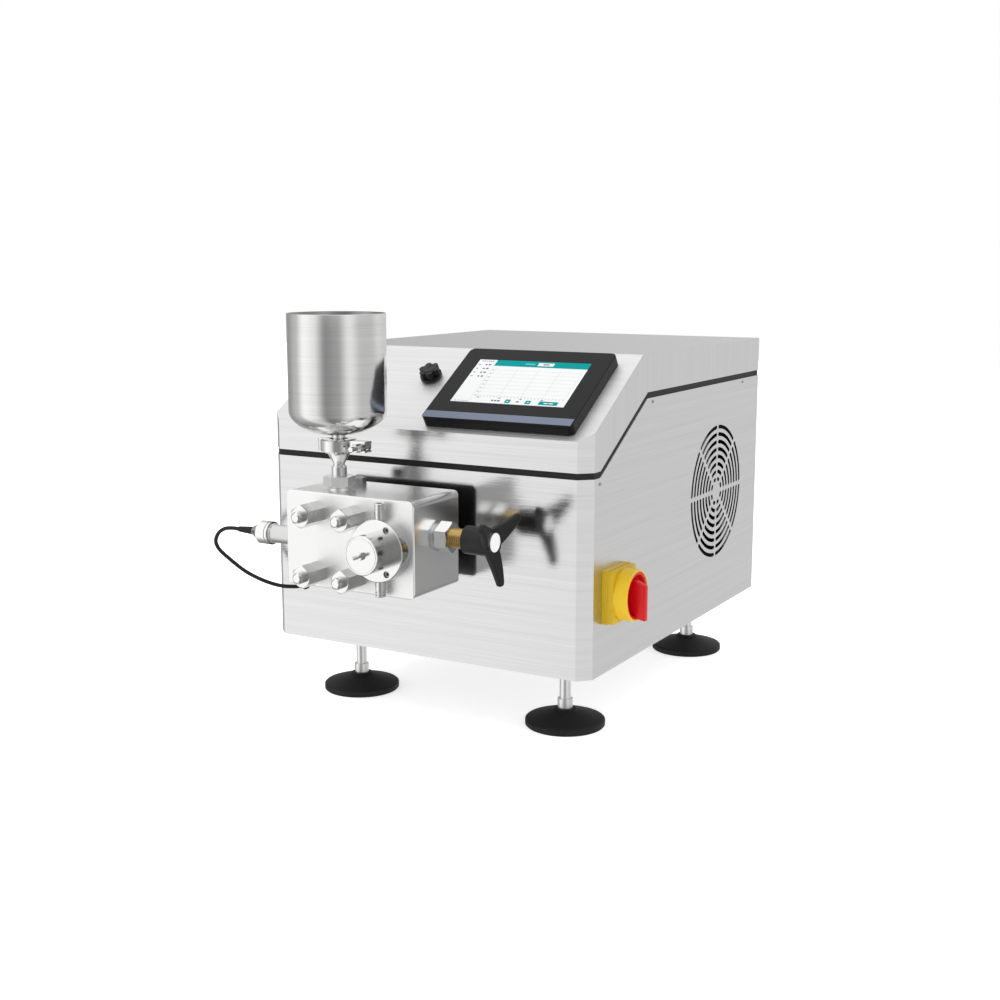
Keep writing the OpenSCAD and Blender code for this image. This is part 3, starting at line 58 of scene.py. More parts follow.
# %% A place on the machine
front_low, front_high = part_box("front_panel")
middle_x = (front_low.x + front_high.x) / 2
face_y = front_low.y


def at(x, y, z):
    return Vector((middle_x + x / 1000, face_y + y / 1000, z / 1000))


print("front face at", tuple(round(v, 4) for v in at(0, 0, 0)))

# %% [markdown]
# ## Camera
# The camera stands right of the front and a little above the machine. It could be aimed at a
# target, but its lens, place and turn were found by fitting the housing's straight edges, so
# they are simply typed in.

# %% Camera
lens_mm = 50.16
sensor_mm = 36
look_down = math.radians(9.871)
look_left = math.radians(29.743)

eye = bpy.data.cameras.new("studio_camera")
eye.lens = lens_mm
eye.sensor_width = sensor_mm
camera = bpy.data.objects.new("studio_camera", eye)
camera.location = at(911.2, -1398.1, 574.0)
camera.rotation_euler = (math.radians(90) - look_down, 0, look_left)
scene.collection.objects.link(camera)
scene.camera = camera
print("camera at", tuple(round(v, 3) for v in camera.location))

# %% [markdown]
# ## Sensor cable
# A thin black cable leaves the sensor's boot, hangs in a loop on the left and goes back into the
# front panel through a grommet. Its points are listed in millimetres from the boot and from the
# grommet, as they are in the solid. A spline through all of them makes the loop smooth.

# %% Route of the cable
cable_out = [
    (0, 0, 0), (-12, 0, 0), (-24, 0, -2), (-36, 2, -9), (-43, 4, -20), (-42, 8, -31), (-32, 14, -43),
]
cable_in = [(-60, -46, 20), (-38, -38, 9), (-19, -30, 3), (-7, -21, 1), (-1, -10, 0), (0, 4, 0)]
cable_from = at(-226, -68, 238)
cable_to = at(-177, 0, 158)
steps_between_points = 5


def smooth_route(points, steps):
    ends = [2 * points[0] - points[1], *points, 2 * points[-1] - points[-2]]
    line = []
    for a, b, c, d in zip(ends, ends[1:], ends[2:], ends[3:]):
        square = 2 * a - 5 * b + 4 * c - d
        cube = 3 * b - a - 3 * c + d
        for step in range(steps):
            t = step / steps
            line.append(0.5 * (2 * b + (c - a) * t + square * t**2 + cube * t**3))
    return line + [points[-1]]


route = [cable_from + Vector(p) / 1000 for p in cable_out]
route += [cable_to + Vector(p) / 1000 for p in cable_in]
cable_line = smooth_route(route, steps_between_points)

# %% [markdown]
# A cable is a circle swept along a line, so a curve with a round bevel is the natural tool. The
# thickness is written into the points and the bevel is left at one, because Blender adds a
# point's radius to the box of a curve.

# %% Sensor cable
cable_radius = 0.0025

cable_curve = bpy.data.curves.new("signal_cable", "CURVE")
cable_curve.dimensions = "3D"
spline = cable_curve.splines.new("POLY")
spline.points.add(len(cable_line) - 1)
for point, place in zip(spline.points, cable_line):
    point.co = (*place, 1)
    point.radius = cable_radius
cable_curve.bevel_depth = 1.0
cable_curve.bevel_resolution = 5
cable_curve.use_fill_caps = True
cable = bpy.data.objects.new("signal_cable", cable_curve)
scene.collection.objects.link(cable)
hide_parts("sensor_cable")
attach(cable, "housing")
print("cable swept along", len(cable_line), "points")

# %% [markdown]
# ## Working by hand in code
# Blender's operators act on whatever is selected, so each new piece starts with nothing selected.
# `open_mesh` and `close_mesh` go in and out of edit mode. `pick` selects corners or faces by a
# test on their place or direction, which is what the mouse does by hand.

# %% Selecting
def open_mesh():
    bpy.ops.object.mode_set(mode="EDIT")


def close_mesh():
    bpy.ops.object.mode_set(mode="OBJECT")


def clear_selection():
    if bpy.context.object and bpy.context.object.mode != "OBJECT":
        close_mesh()
    bpy.ops.object.select_all(action="DESELECT")


def take(obj):
    clear_selection()
    obj.select_set(True)
    bpy.context.view_layer.objects.active = obj


def pick(test, kind="VERT"):
    mesh = bmesh.from_edit_mesh(bpy.context.object.data)
    bpy.ops.mesh.select_mode(type=kind)
    bpy.ops.mesh.select_all(action="DESELECT")
    for item in mesh.verts if kind == "VERT" else mesh.faces:
        item.select_set(bool(test(item)))
    mesh.select_flush_mode()
    bmesh.update_edit_mesh(bpy.context.object.data)


# %% [markdown]
# A finished piece has its place written into its mesh and sits at the origin, as the solids do.
# `settle` does that, merges doubled corners and smooths all but the sharp edges. `stand_in` hides
# the solid that a piece takes the place of and hangs the piece on the body it rides on.

# %% Finishing a piece
merge_distance = 0.000002


def new_piece(name):
    obj = bpy.context.object
    obj.name = name
    obj.data.name = name
    return obj


def write_place():
    bpy.ops.object.transform_apply(location=True, rotation=True, scale=True)


def face_outwards():
    bpy.ops.mesh.select_all(action="SELECT")
    bpy.ops.mesh.normals_make_consistent(inside=False)


def settle(obj, smooth):
    take(obj)
    write_place()
    open_mesh()
    bpy.ops.mesh.select_all(action="SELECT")
    bpy.ops.mesh.remove_doubles(threshold=merge_distance)
    face_outwards()
    close_mesh()
    bpy.ops.object.shade_smooth_by_angle(angle=math.radians(smooth))
    print(obj.name, len(obj.data.polygons), "faces")


def join(name, pieces):
    take(pieces[0])
    for piece in pieces:
        piece.select_set(True)
    bpy.ops.object.join()
    return new_piece(name)


def stand_in(obj, body, slot, *solids):
    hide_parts(*solids)
    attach(obj, body)


# %% [markdown]
# ## Hopper
# The hopper is a spun steel cup with a dished bottom, a short pipe and a flange for the clamp. Its
# profile runs from the bore over the flange, up the outside, over the rounded rim and down the
# inside. Flange and rim are given as radius and height. The dish is a part of an ellipse, and
# sixteen steps along it keep the polished bottom free of facets.

# %% Profile of the hopper
hopper_low, hopper_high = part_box("hopper")
cup_axis = (hopper_low + hopper_high) / 2
cup_radius = 0.0575
cup_wall = 0.0015
dish_height = 0.030
cup_depth = 0.142
dish_low = hopper_high.z - cup_depth
dish_steps = 16
dish_turns = [math.radians(9 + 81 * step / dish_steps) for step in range(dish_steps + 1)]
bore_radius = 0.0060
pipe_radius = 0.0080
pipe_end = dish_low + 0.0001
flange = [(bore_radius, 0), (0.0165, 0), (0.0170, 0.0005), (0.0170, 0.0021), (pipe_radius, 0.0054)]
rim = [(cup_radius, -0.0006), (0.0573, -0.0002), (0.0568, 0), (0.0562, -0.0002), (0.0560, -0.0006)]


def dish(radius, floor, height):
    return [(radius * math.sin(a), floor + height * (1 - math.cos(a))) for a in dish_turns]


def raised(points, height):
    return [(radius, height + z) for radius, z in points]


outside = dish(cup_radius, dish_low, dish_height)
inside = dish(cup_radius - cup_wall, dish_low + cup_wall, dish_height - cup_wall)
cup_profile = [
    *raised(flange, hopper_low.z), (pipe_radius, pipe_end), *outside,
    *raised(rim, hopper_high.z), *reversed(inside), (bore_radius, dish_low + cup_wall),
]
print(len(cup_profile), "points on the hopper's profile")

# %% [markdown]
# On a lathe such a cup grows ring by ring, and so does the mesh: one circle is extruded and
# resized from point to point, and the last ring meets the first. A spin around the axis would
# do as well, but rings keep their roundness exactly.

# %% Hopper
cup_sides = 96

clear_selection()
bpy.ops.mesh.primitive_circle_add(
    vertices=cup_sides, radius=bore_radius, location=(cup_axis.x, cup_axis.y, hopper_low.z)
)
cup = new_piece("hopper_cup")
open_mesh()
for (r0, z0), (r1, z1) in zip(cup_profile, cup_profile[1:] + cup_profile[:1]):
    growth = r1 / r0
    bpy.ops.mesh.extrude_edges_move(TRANSFORM_OT_translate={"value": (0, 0, z1 - z0)})
    bpy.ops.transform.resize(value=(growth, growth, 1), center_override=(cup_axis.x, cup_axis.y, z1))
settle(cup, smooth=40)
stand_in(cup, "housing", "hopper_steel", "hopper")

# %% [markdown]
# ## Pressure handle
# The pressure is set with a black moulded handle: a round hub and three wings that lean forwards
# to their tips. One wing starts as a flat face in the middle, which is extruded and resized from
# section to section. Drawing a wing this way keeps every section a clean four-sided face.

# %% Sections of a wing
hub_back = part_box("pressure_handle")[0].x
inset_low, inset_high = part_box("handle_inset")
hub_axis = (inset_low + inset_high) / 2
inset_rise = 0.00065
hub_face = inset_high.x - inset_rise
# In millimetres: way out from the axis, back and front against the hub's face, half width
wing_sections = [
    (0, -10.5, -0.1, 12.8), (11.2, -8.8, 0.0, 12.4), (13.5, -7.6, 1.6, 11.9), (22, -4.6, 4.6, 10.0),
    (32, -1.2, 7.6, 7.9), (44, 2.2, 10.2, 5.5), (50, 3.8, 10.4, 4.3),
]


def section(way, back, front, half):
    middle = Vector((hub_face + (back + front) / 2000, hub_axis.y, hub_axis.z - way / 1000))
    return middle, (front - back) / 1000, half / 500


def extrude(move):
    bpy.ops.mesh.extrude_region_move(TRANSFORM_OT_translate={"value": move})


print("wing of", wing_sections[-1][0], "mm in", len(wing_sections), "sections")

# %% One wing
middle, thick, wide = section(*wing_sections[0])
clear_selection()
bpy.ops.mesh.primitive_plane_add(size=1, location=middle)
wing = new_piece("handle_wing")
wing.scale = (thick, wide, 1)
write_place()
open_mesh()
for values in wing_sections[1:]:
    before, before_thick, before_wide = middle, thick, wide
    middle, thick, wide = section(*values)
    extrude(middle - before)
    bpy.ops.transform.resize(
        value=(thick / before_thick, wide / before_wide, 1), center_override=middle
    )
face_outwards()
close_mesh()
print("wing has", len(wing.data.polygons), "faces")

# %% [markdown]
# A moulding has no sharp edges. `soften` rounds the edges that are sharper than an angle with the
# Bevel modifier and applies it. The finished wing is then copied twice, each copy with a mesh of
# its own, turned around the axis.

# %% Rounded wings
def soften(obj, width, segments, angle=50):
    round_off = obj.modifiers.new("round_off", "BEVEL")
    round_off.width = width
    round_off.segments = segments
    round_off.angle_limit = math.radians(angle)
    take(obj)
    bpy.ops.object.modifier_apply(modifier=round_off.name)


soften(wing, width=0.0026, segments=4)
wings = [wing]
for angle in (120, 240):
    copy = wing.copy()
    copy.data = wing.data.copy()
    scene.collection.objects.link(copy)
    turn = Matrix.Rotation(math.radians(angle), 4, "X")
    copy.data.transform(Matrix.Translation(hub_axis) @ turn @ Matrix.Translation(-hub_axis))
    wings.append(copy)
print(len(wings), "wings")

# %% [markdown]
# The wings meet in the hub, a cylinder along the spindle with a bore in its back. A plain white
# disc lies in the middle of its face. `lying_cylinder` serves the switch too.

# %% Hub
hub_sides = 72
hub_radius = 0.0165
hub_wall = 0.0048
bore_depth = 0.010


def lying_cylinder(name, sides, radius, start, end, axis):
    clear_selection()
    bpy.ops.mesh.primitive_cylinder_add(
        vertices=sides, radius=radius, depth=end - start,
        location=((start + end) / 2, axis.y, axis.z), rotation=(0, math.radians(90), 0),
    )
    obj = new_piece(name)
    write_place()
    return obj


hub = lying_cylinder("handle_hub", hub_sides, hub_radius, hub_back, hub_face, hub_axis)
open_mesh()
pick(lambda face: face.normal.x < -0.9, "FACE")
bpy.ops.mesh.inset(thickness=hub_wall)
extrude((bore_depth, 0, 0))
close_mesh()
soften(hub, width=0.0010, segments=3)
handle = join("winged_handle", [hub, *wings])
settle(handle, smooth=50)
stand_in(handle, "handle", "black_plastic", "pressure_handle")
print("handle box", [round(v * 1000, 1) for v in handle.dimensions])

# %% [markdown]
# ## Switch grip
# The red main switch turns inside its yellow collar. Its face is a shallow cup with a fin across
# it, so that a finger and a thumb can reach in. The cup is a cylinder whose face is inset and then
# pushed in by steps that shrink, which rounds the bottom.

# %% Cup of the grip
grip_low, grip_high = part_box("switch_handle")
collar_low, collar_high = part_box("switch_collar")
turn_axis = (collar_low + collar_high) / 2
back_gap, lip_gap = 0.0003, 0.0005
cup_back = collar_low.x + back_gap
cup_lip = collar_high.x - lip_gap
grip_sides, grip_radius = 96, 0.0282
lip_width = 0.0032
# Depth of each step and the share that its ring keeps
cup_steps = ((0.004, 0.985), (0.004, 0.955), (0.003, 0.88), (0.0015, 0.72))

grip_cup = lying_cylinder("grip_cup", grip_sides, grip_radius, cup_back, cup_lip, turn_axis)
open_mesh()
pick(lambda face: face.normal.x > 0.9, "FACE")
bpy.ops.mesh.inset(thickness=lip_width)
for depth, shrink in cup_steps:
    extrude((-depth, 0, 0))
    bpy.ops.transform.resize(
        value=(1, shrink, shrink), center_override=(0, turn_axis.y, turn_axis.z)
    )
close_mesh()
soften(grip_cup, width=0.0007, segments=2, angle=60)
print("cup pushed in by", round(sum(depth for depth, shrink in cup_steps) * 1000, 1), "mm")

# %% [markdown]
# The fin starts as a box. Its outer corners are moved down, more at the top than at the bottom,
# and brought closer together, so it leans and narrows as the real one does. After its edges are
# rounded, the low corners inside the collar are lifted, which keeps them clear of the wall.

# %% Fin of the grip
fin_gap = 0.002
fin_back = cup_back + fin_gap
fin_wide, fin_tall = 0.0105, 0.050
top_drop, bottom_drop = 0.012, 0.0048
fin_taper = 0.72
low_corner, low_lift = 0.0262, 0.003
lip_reach = collar_high.x + 0.0004

clear_selection()
bpy.ops.mesh.primitive_cube_add(
    size=1, location=((fin_back + grip_high.x) / 2, turn_axis.y, turn_axis.z)
)
fin = new_piece("grip_fin")
fin.scale = (grip_high.x - fin_back, fin_wide, fin_tall)
write_place()
open_mesh()
pick(lambda corner: corner.co.x > turn_axis.x and corner.co.z > turn_axis.z)
bpy.ops.transform.translate(value=(0, 0, -top_drop))
pick(lambda corner: corner.co.x > turn_axis.x and corner.co.z < turn_axis.z)
bpy.ops.transform.translate(value=(0, 0, -bottom_drop))
pick(lambda corner: corner.co.x > turn_axis.x)
bpy.ops.transform.resize(value=(1, fin_taper, 1), center_override=turn_axis)
close_mesh()
soften(fin, width=0.0016, segments=3, angle=30)
open_mesh()
pick(lambda corner: corner.co.z < turn_axis.z - low_corner and corner.co.x < lip_reach)
bpy.ops.transform.translate(value=(0, 0, low_lift))
close_mesh()
print("fin has", len(fin.data.polygons), "faces")

# %% [markdown]
# A short shaft behind the cup goes through the housing's wall to the contacts. A small inset marks
# the edge of its end. Cup, fin and shaft are one moulding, so they are joined.

# %% Shaft of the grip
shaft_sides, shaft_radius = 32, 0.005
shaft_overlap = 0.001
shaft_edge = 0.001

grip_shaft = lying_cylinder(
    "grip_shaft", shaft_sides, shaft_radius, grip_low.x, cup_back + shaft_overlap, turn_axis
)
open_mesh()
pick(lambda face: face.normal.x < -0.9, "FACE")
bpy.ops.mesh.inset(thickness=shaft_edge)
close_mesh()
grip = join("switch_grip", [grip_cup, fin, grip_shaft])
settle(grip, smooth=40)
stand_in(grip, "switch", "switch_red", "switch_handle")

# %% [markdown]
# ## Screen page
# The lit panel shows a page with a coloured heading bar, a chart and a row of buttons. It could be
# a picture, but each block of it is a thin tile on the glass here, so that the page stays sharp at
# any size. Short grey bars fill its lines.

# %% Glass of the page
page_wide, page_long, glass_thick = 0.154, 0.086, 0.001
panel_x, foot_height, front_height = 103, 88, 281
slope_rise, slope_run = 90, 144
slope_edge = at(panel_x, 0, foot_height + front_height)
frame_margin, page_margin, glass_rise = 0.009, 0.034, 0.0138
slope_turn = Matrix.Rotation(math.atan2(slope_rise, slope_run), 4, "X")
up_slope = Matrix.Translation((0, frame_margin + page_margin + page_long / 2, glass_rise))
page_frame = Matrix.Translation(slope_edge) @ slope_turn @ up_slope

clear_selection()
bpy.ops.mesh.primitive_cube_add(size=1)
glass = new_piece("page_paper")
glass.scale = (page_wide, page_long, glass_thick)
glass.location = (0, 0, -glass_thick / 2)
write_place()
open_mesh()
bpy.ops.mesh.bevel(offset=0.0002, segments=1)
close_mesh()
tiles = [("paper", glass)]
print("glass", round(page_wide * 1000), "by", round(page_long * 1000), "mm")

# %% [markdown]
# `tile` places a block by shares of the page's width and length. Each tile lies a few hundredths
# of a millimetre above what is under it, so two of them never share a plane. The heading is a
# bar with a field on it, and a narrow column of marks stands at the left.

# %% Heading and side column
on_glass, on_grid, on_tile, on_field = 30, 40, 60, 90
micron = 1e-6


def tile(kind, u0, u1, v0, v1, lift=on_glass):
    clear_selection()
    bpy.ops.mesh.primitive_plane_add(size=1)
    obj = new_piece("page_" + kind)
    across, along = (u0 + u1) / 2 - 0.5, (v0 + v1) / 2 - 0.5
    obj.scale = ((u1 - u0) * page_wide, (v1 - v0) * page_long, 1)
    obj.location = (across * page_wide, along * page_long, lift * micron)
    write_place()
    tiles.append((kind, obj))


tile("teal", 0.165, 1.0, 0.86, 1.0)
tile("paper", 0.55, 0.69, 0.895, 0.965, on_tile)
tile("pale", 0.435, 0.52, 0.918, 0.942, on_tile)
tile("mark", 0.595, 0.65, 0.918, 0.942, on_field)
for k in range(6):
    tile("mark", 0.03 + 0.019 * k, 0.043 + 0.019 * k, 0.955, 0.972)
for row in range(4):
    v = 0.865 - 0.092 * row
    tile("faint", 0.018, 0.040, v, v + 0.022)
    tile("mark", 0.082, 0.100, v - 0.002, v + 0.026)
    tile("mark", 0.112, 0.134, v, v + 0.030)
print(len(tiles), "tiles with the heading")

# %% [markdown]
# The chart fills most of the page. Pale lines cross it, with a small mark beside each line and a
# scale of ticks under it. Loops place them at even steps.

# %% Chart
chart_left, chart_low = 0.206, 0.165

for k in range(8):
    v = chart_low + 0.085 * k
    tile("mark", 0.178, 0.192, v - 0.006, v + 0.008)
    tile("faint", 0.198, chart_left, v, v + 0.005)
    tile("grid", chart_left, 0.97, v, v + 0.004)
for u in (chart_left, 0.397, 0.588, 0.779, 0.968):
    tile("grid", u, u + 0.0025, chart_low, 0.80, on_grid)
tile("grid", 0.163, 0.166, 0.0, 0.86)
for k in range(26):
    tile("faint", chart_left + 0.03 * k, 0.210 + 0.03 * k, 0.135, 0.160)
for u in (0.21, 0.40, 0.59, 0.775):
    tile("mark", u, u + 0.022, 0.115, 0.130)
print(len(tiles), "tiles with the chart")

# %% [markdown]
# A row of buttons ends the page: coloured fields to press, pale bars on them and short marks
# beside them.

# %% Buttons
for u0, u1 in ((0.355, 0.375), (0.382, 0.402), (0.409, 0.432), (0.575, 0.60)):
    tile("mark", u0, u1, 0.050, 0.078)
for u0, u1 in ((0.478, 0.524), (0.655, 0.701), (0.772, 0.935)):
    tile("teal", u0, u1, 0.024, 0.104)
for u0, u1 in ((0.494, 0.508), (0.671, 0.685), (0.815, 0.85), (0.86, 0.895)):
    tile("paper", u0, u1, 0.054, 0.072, on_tile)
for k in range(5):
    tile("faint", 0.03 + 0.026 * k, 0.048 + 0.026 * k, 0.022, 0.034)
print(len(tiles), "tiles on the page")

# %% [markdown]
# ## Finishes that several surfaces share
# Steel on this machine shows fine brushed lines, and moulded parts show a fine grain. Each is a
# node group that puts out a shade and a height, so that every material can use it at its own
# scale. Wiring nodes takes many lines, so a few helpers come first: `feed` gives a socket a link
# or a number, `calc` is one sum, and `split` and `combine` take a place apart and build it again.

# %% Helpers for nodes
def feed(tree, sockets, values):
    for socket, value in zip(sockets, values):
        if hasattr(value, "is_linked"):
            tree.links.new(value, socket)
        else:
            socket.default_value = value


def calc(tree, operation, *values):
    node = tree.nodes.new("ShaderNodeMath")
    node.operation = operation
    feed(tree, node.inputs, values)
    return node.outputs[0]


def split(tree, vector):
    node = tree.nodes.new("ShaderNodeSeparateXYZ")
    tree.links.new(vector, node.inputs[0])
    return node.outputs


def combine(tree, *parts):
    node = tree.nodes.new("ShaderNodeCombineXYZ")
    feed(tree, node.inputs, parts)
    return node.outputs[0]


# %% [markdown]
# `noise` is one noise, and `either` takes one value where a mask is one and another where it is
# zero. `new_group` starts a node group: it makes the inputs that it is told and the two outputs,
# and hands back what the wiring needs.

# %% Noise, choice and groups
def noise(tree, vector, scale, detail):
    node = tree.nodes.new("ShaderNodeTexNoise")
    node.inputs["Scale"].default_value = scale
    node.inputs["Detail"].default_value = detail
    tree.links.new(vector, node.inputs["Vector"])
    return node.outputs["Fac"]


def either(tree, mask, yes, no):
    rest = calc(tree, "SUBTRACT", 1.0, mask)
    return calc(tree, "ADD", calc(tree, "MULTIPLY", yes, mask), calc(tree, "MULTIPLY", no, rest))


def new_group(name, **inputs):
    tree = bpy.data.node_groups.new(name, "ShaderNodeTree")
    for label, value in inputs.items():
        socket = tree.interface.new_socket(label, in_out="INPUT", socket_type="NodeSocketFloat")
        socket.default_value = value
    for label in ("Shade", "Height"):
        tree.interface.new_socket(label, in_out="OUTPUT", socket_type="NodeSocketFloat")
    place = tree.nodes.new("ShaderNodeTexCoord").outputs
    given = tree.nodes.new("NodeGroupInput").outputs
    made = tree.nodes.new("NodeGroupOutput").inputs
    return tree, place, given, made


# %% [markdown]
# Brushing follows the sheet: along the width on front, slope and top, along the depth on the
# sides, and upright where a material asks for it. The face's direction says which one holds.
# On a top face the depth counts as well as the height, so that the lines lie side by side. Fine
# streaks are mixed with broad ones, because real brushing is never even.

# %% Brushed lines
side_limit, top_limit = 0.8, 0.3
depth_on_top = 0.7
broad_length, broad_lines = 1.3, 0.12
fine_share, broad_share = 0.6, 0.4

brushed, place, given, made = new_group(
    "brushed_lines", Lines=900.0, Length=4.0, Upright=0.0, Side_Upright=0.0
)
x, y, z = split(brushed, place["Object"])
normal = split(brushed, place["Normal"])
on_side = calc(brushed, "GREATER_THAN", calc(brushed, "ABSOLUTE", normal["X"]), side_limit)
on_top = calc(brushed, "GREATER_THAN", calc(brushed, "ABSOLUTE", normal["Z"]), top_limit)
lengthwise = either(brushed, on_side, y, x)
crosswise = calc(brushed, "MULTIPLY_ADD", calc(brushed, "MULTIPLY", y, depth_on_top), on_top, z)
upright_side = calc(brushed, "MULTIPLY", given["Side_Upright"], on_side)
upright = calc(brushed, "MAXIMUM", given["Upright"], upright_side)
along = either(brushed, upright, crosswise, lengthwise)
across = either(brushed, upright, lengthwise, crosswise)


def streaks(length, lines, detail):
    stretched = calc(brushed, "MULTIPLY", along, length)
    packed = calc(brushed, "MULTIPLY", across, lines)
    return noise(brushed, combine(brushed, stretched, packed), 1.0, detail)


fine = streaks(given["Length"], given["Lines"], 3.0)
broad = streaks(broad_length, calc(brushed, "MULTIPLY", given["Lines"], broad_lines), 2.0)
broad_part = calc(brushed, "MULTIPLY", broad, broad_share)
brushed.links.new(calc(brushed, "MULTIPLY_ADD", fine, fine_share, broad_part), made["Shade"])
brushed.links.new(fine, made["Height"])
print("group", brushed.name, "with", len(brushed.nodes), "nodes")

# %% [markdown]
# Turned fittings have marks too fine to tell their direction, so a small even noise serves them.
# Plastic and rubber have a grain from the mould: fine spots, and clouds that change slowly.

# %% Turned marks and moulded grain
turned_scale = 0.35
cloud_scale = 30.0


def scaled(tree, vector, amount):
    return combine(tree, *[calc(tree, "MULTIPLY", part, amount) for part in split(tree, vector)])


turned, place, given, made = new_group("turned_marks", Lines=1500.0)
marks = noise(turned, scaled(turned, place["Object"], given["Lines"]), turned_scale, 2.0)
turned.links.new(marks, made["Shade"])
turned.links.new(marks, made["Height"])

grain, place, given, made = new_group("fine_grain", Size=2200.0)
spots = noise(grain, scaled(grain, place["Object"], given["Size"]), 1.0, 4.0)
clouds = noise(grain, place["Object"], cloud_scale, 2.0)
cloud_part = calc(grain, "MULTIPLY", clouds, 0.5)
grain.links.new(calc(grain, "MULTIPLY_ADD", spots, 0.5, cloud_part), made["Shade"])
grain.links.new(spots, made["Height"])
print("groups", turned.name, "and", grain.name)

# %% [markdown]
# The brass spindle has a screw thread. A helix could be modelled, but at this size rings look the
# same: the height goes up and down with the way along the spindle, once for each pitch. The same
# value is its shade, so the brass is darker in the thread's valleys, as painted shade.

# %% Screw thread
threads, place, given, made = new_group("screw_thread", Pitch=0.0024, First=at(89.2, 0, 0).x)
way = calc(threads, "SUBTRACT", split(threads, place["Object"])["X"], given["First"])
half_pitch = calc(threads, "MULTIPLY", given["Pitch"], 0.5)
flank = calc(threads, "DIVIDE", calc(threads, "PINGPONG", way, half_pitch), half_pitch)
threads.links.new(flank, made["Shade"])
threads.links.new(flank, made["Height"])
print("group", threads.name)

# %% [markdown]
# ## Materials
# Two more helpers serve the materials and later the studio. `ranged` stretches one range of values
# to another, softly or in a straight line. `mix_colours` goes from one colour to a second.

# %% Ranges and mixed colours
def ranged(tree, value, low=0.0, high=1.0, to_low=0.0, to_high=1.0, kind="SMOOTHSTEP"):
    node = tree.nodes.new("ShaderNodeMapRange")
    node.interpolation_type = kind
    limits = [node.inputs[label] for label in ("From Min", "From Max", "To Min", "To Max")]
    feed(tree, [node.inputs["Value"], *limits], (value, low, high, to_low, to_high))
    return node.outputs["Result"]


def mix_colours(tree, share, first, second, kind="MIX"):
    node = tree.nodes.new("ShaderNodeMix")
    node.data_type = "RGBA"
    node.blend_type = kind
    sockets = [node.inputs[label] for label in ("Factor", "A", "B")]
    feed(tree, sockets, (share, first, second))
    return node.outputs["Result"]


# %% [markdown]
# A finish is a Principled shader whose colour and roughness drift with the shade of a group, and
# whose normal follows its height. `finish` wires that once. A mask can paint light or shade onto
# some faces, so that they are darker or brighter than the rest, and make them duller.

# %% Material builder
def shader_of(material):
    return material.node_tree.nodes["Principled BSDF"].inputs


def finish(
    name, dark, light, rough, metal=0.0, pattern=grain, bump=0.05, deep=0.00008,
    mask=None, painted_light_tint=1.0, extra_rough=0.0, **values,
):
    material = bpy.data.materials.new(name)
    material.use_nodes = True
    material.diffuse_color = (*light, 1)
    tree = material.node_tree
    shader = shader_of(material)
    group = tree.nodes.new("ShaderNodeGroup")
    group.node_tree = pattern
    for label, value in values.items():
        group.inputs[label].default_value = value
    shade = group.outputs["Shade"]
    colour = mix_colours(tree, shade, (*dark, 1), (*light, 1))
    roughness = ranged(tree, shade, to_low=rough[0], to_high=rough[1], kind="LINEAR")
    if mask:
        # Where the mask is one, the colour is multiplied by a tint that paints light or shade onto
        # those faces, and roughness is added.
        where = mask(tree)
        colour = mix_colours(tree, where, colour, (painted_light_tint, painted_light_tint, painted_light_tint, 1), "MULTIPLY")
        roughness = calc(tree, "MULTIPLY_ADD", where, extra_rough, roughness)
    relief = tree.nodes.new("ShaderNodeBump")
    relief.inputs["Strength"].default_value = bump
    relief.inputs["Distance"].default_value = deep
    tree.links.new(group.outputs["Height"], relief.inputs["Height"])
    tree.links.new(colour, shader["Base Color"])
    tree.links.new(roughness, shader["Roughness"])
    tree.links.new(relief.outputs["Normal"], shader["Normal"])
    shader["Metallic"].default_value = metal
    return material


# %% [markdown]
# Masks look at a face's direction. `facing` rises from zero to one between two values of the
# normal along an axis. `soften_face` adds roughness where a mask is one, and `low_shine` takes
# gloss away from a plastic. `paint` gives a material to pieces by name.

# %% Masks and painting
def facing(axis, low, high):
    def mask(tree):
        normal = split(tree, tree.nodes.new("ShaderNodeTexCoord").outputs["Normal"])
        return ranged(tree, normal[axis], low, high)

    return mask


def soften_face(material, mask, amount):
    tree = material.node_tree
    roughness = shader_of(material)["Roughness"]
    before = roughness.links[0].from_socket
    tree.links.new(calc(tree, "MULTIPLY_ADD", mask(tree), amount, before), roughness)


def low_shine(level, *materials):
    for material in materials:
        shader_of(material)["Specular IOR Level"].default_value = level


def paint(material, *names):
    for name in names:
        obj = nodes.get(name) or bpy.data.objects[name]
        obj.data.materials.clear()
        obj.data.materials.append(material)


def grey(level):
    return (level, level, level)


def warm_grey(level):
    return (level, level, level - 0.005)


# %% [markdown]
# The housing is folded from brushed stainless sheet. The slope with the panel is duller than the
# flat top and has painted light that makes it a little brighter, so a mask picks the faces between
# upright and flat. The top cover is brushed upright on its sides, the other sheets along their
# length.

# %% Housing sheets
def on_slope(tree):
    return calc(tree, "SUBTRACT", facing("Z", 0.5, 0.8)(tree), facing("Z", 0.9, 0.97)(tree))


def sheet_steel(name, side_upright):
    # The tint of 1.14 paints light onto the slope, and the extra roughness makes it duller.
    steel = finish(
        name, grey(0.57), grey(0.83), rough=(0.10, 0.17), metal=1.0, pattern=brushed,
        bump=0.5, deep=0.00014, mask=on_slope, painted_light_tint=1.14, extra_rough=0.42,
        Lines=1000.0, Length=5.0, Side_Upright=side_upright,
    )
    soften_face(steel, facing("X", 0.6, 0.95), 0.16)
    return steel


sheet = sheet_steel("brushed_sheet", 0.0)
paint(sheet, "front_panel", "right_side_panel", "left_side_panel", "rear_panel", "base_pan")
cover_sheet = sheet_steel("brushed_cover", 1.0)
paint(cover_sheet, "top_cover")
print("painted", sheet.name, "and", cover_sheet.name)
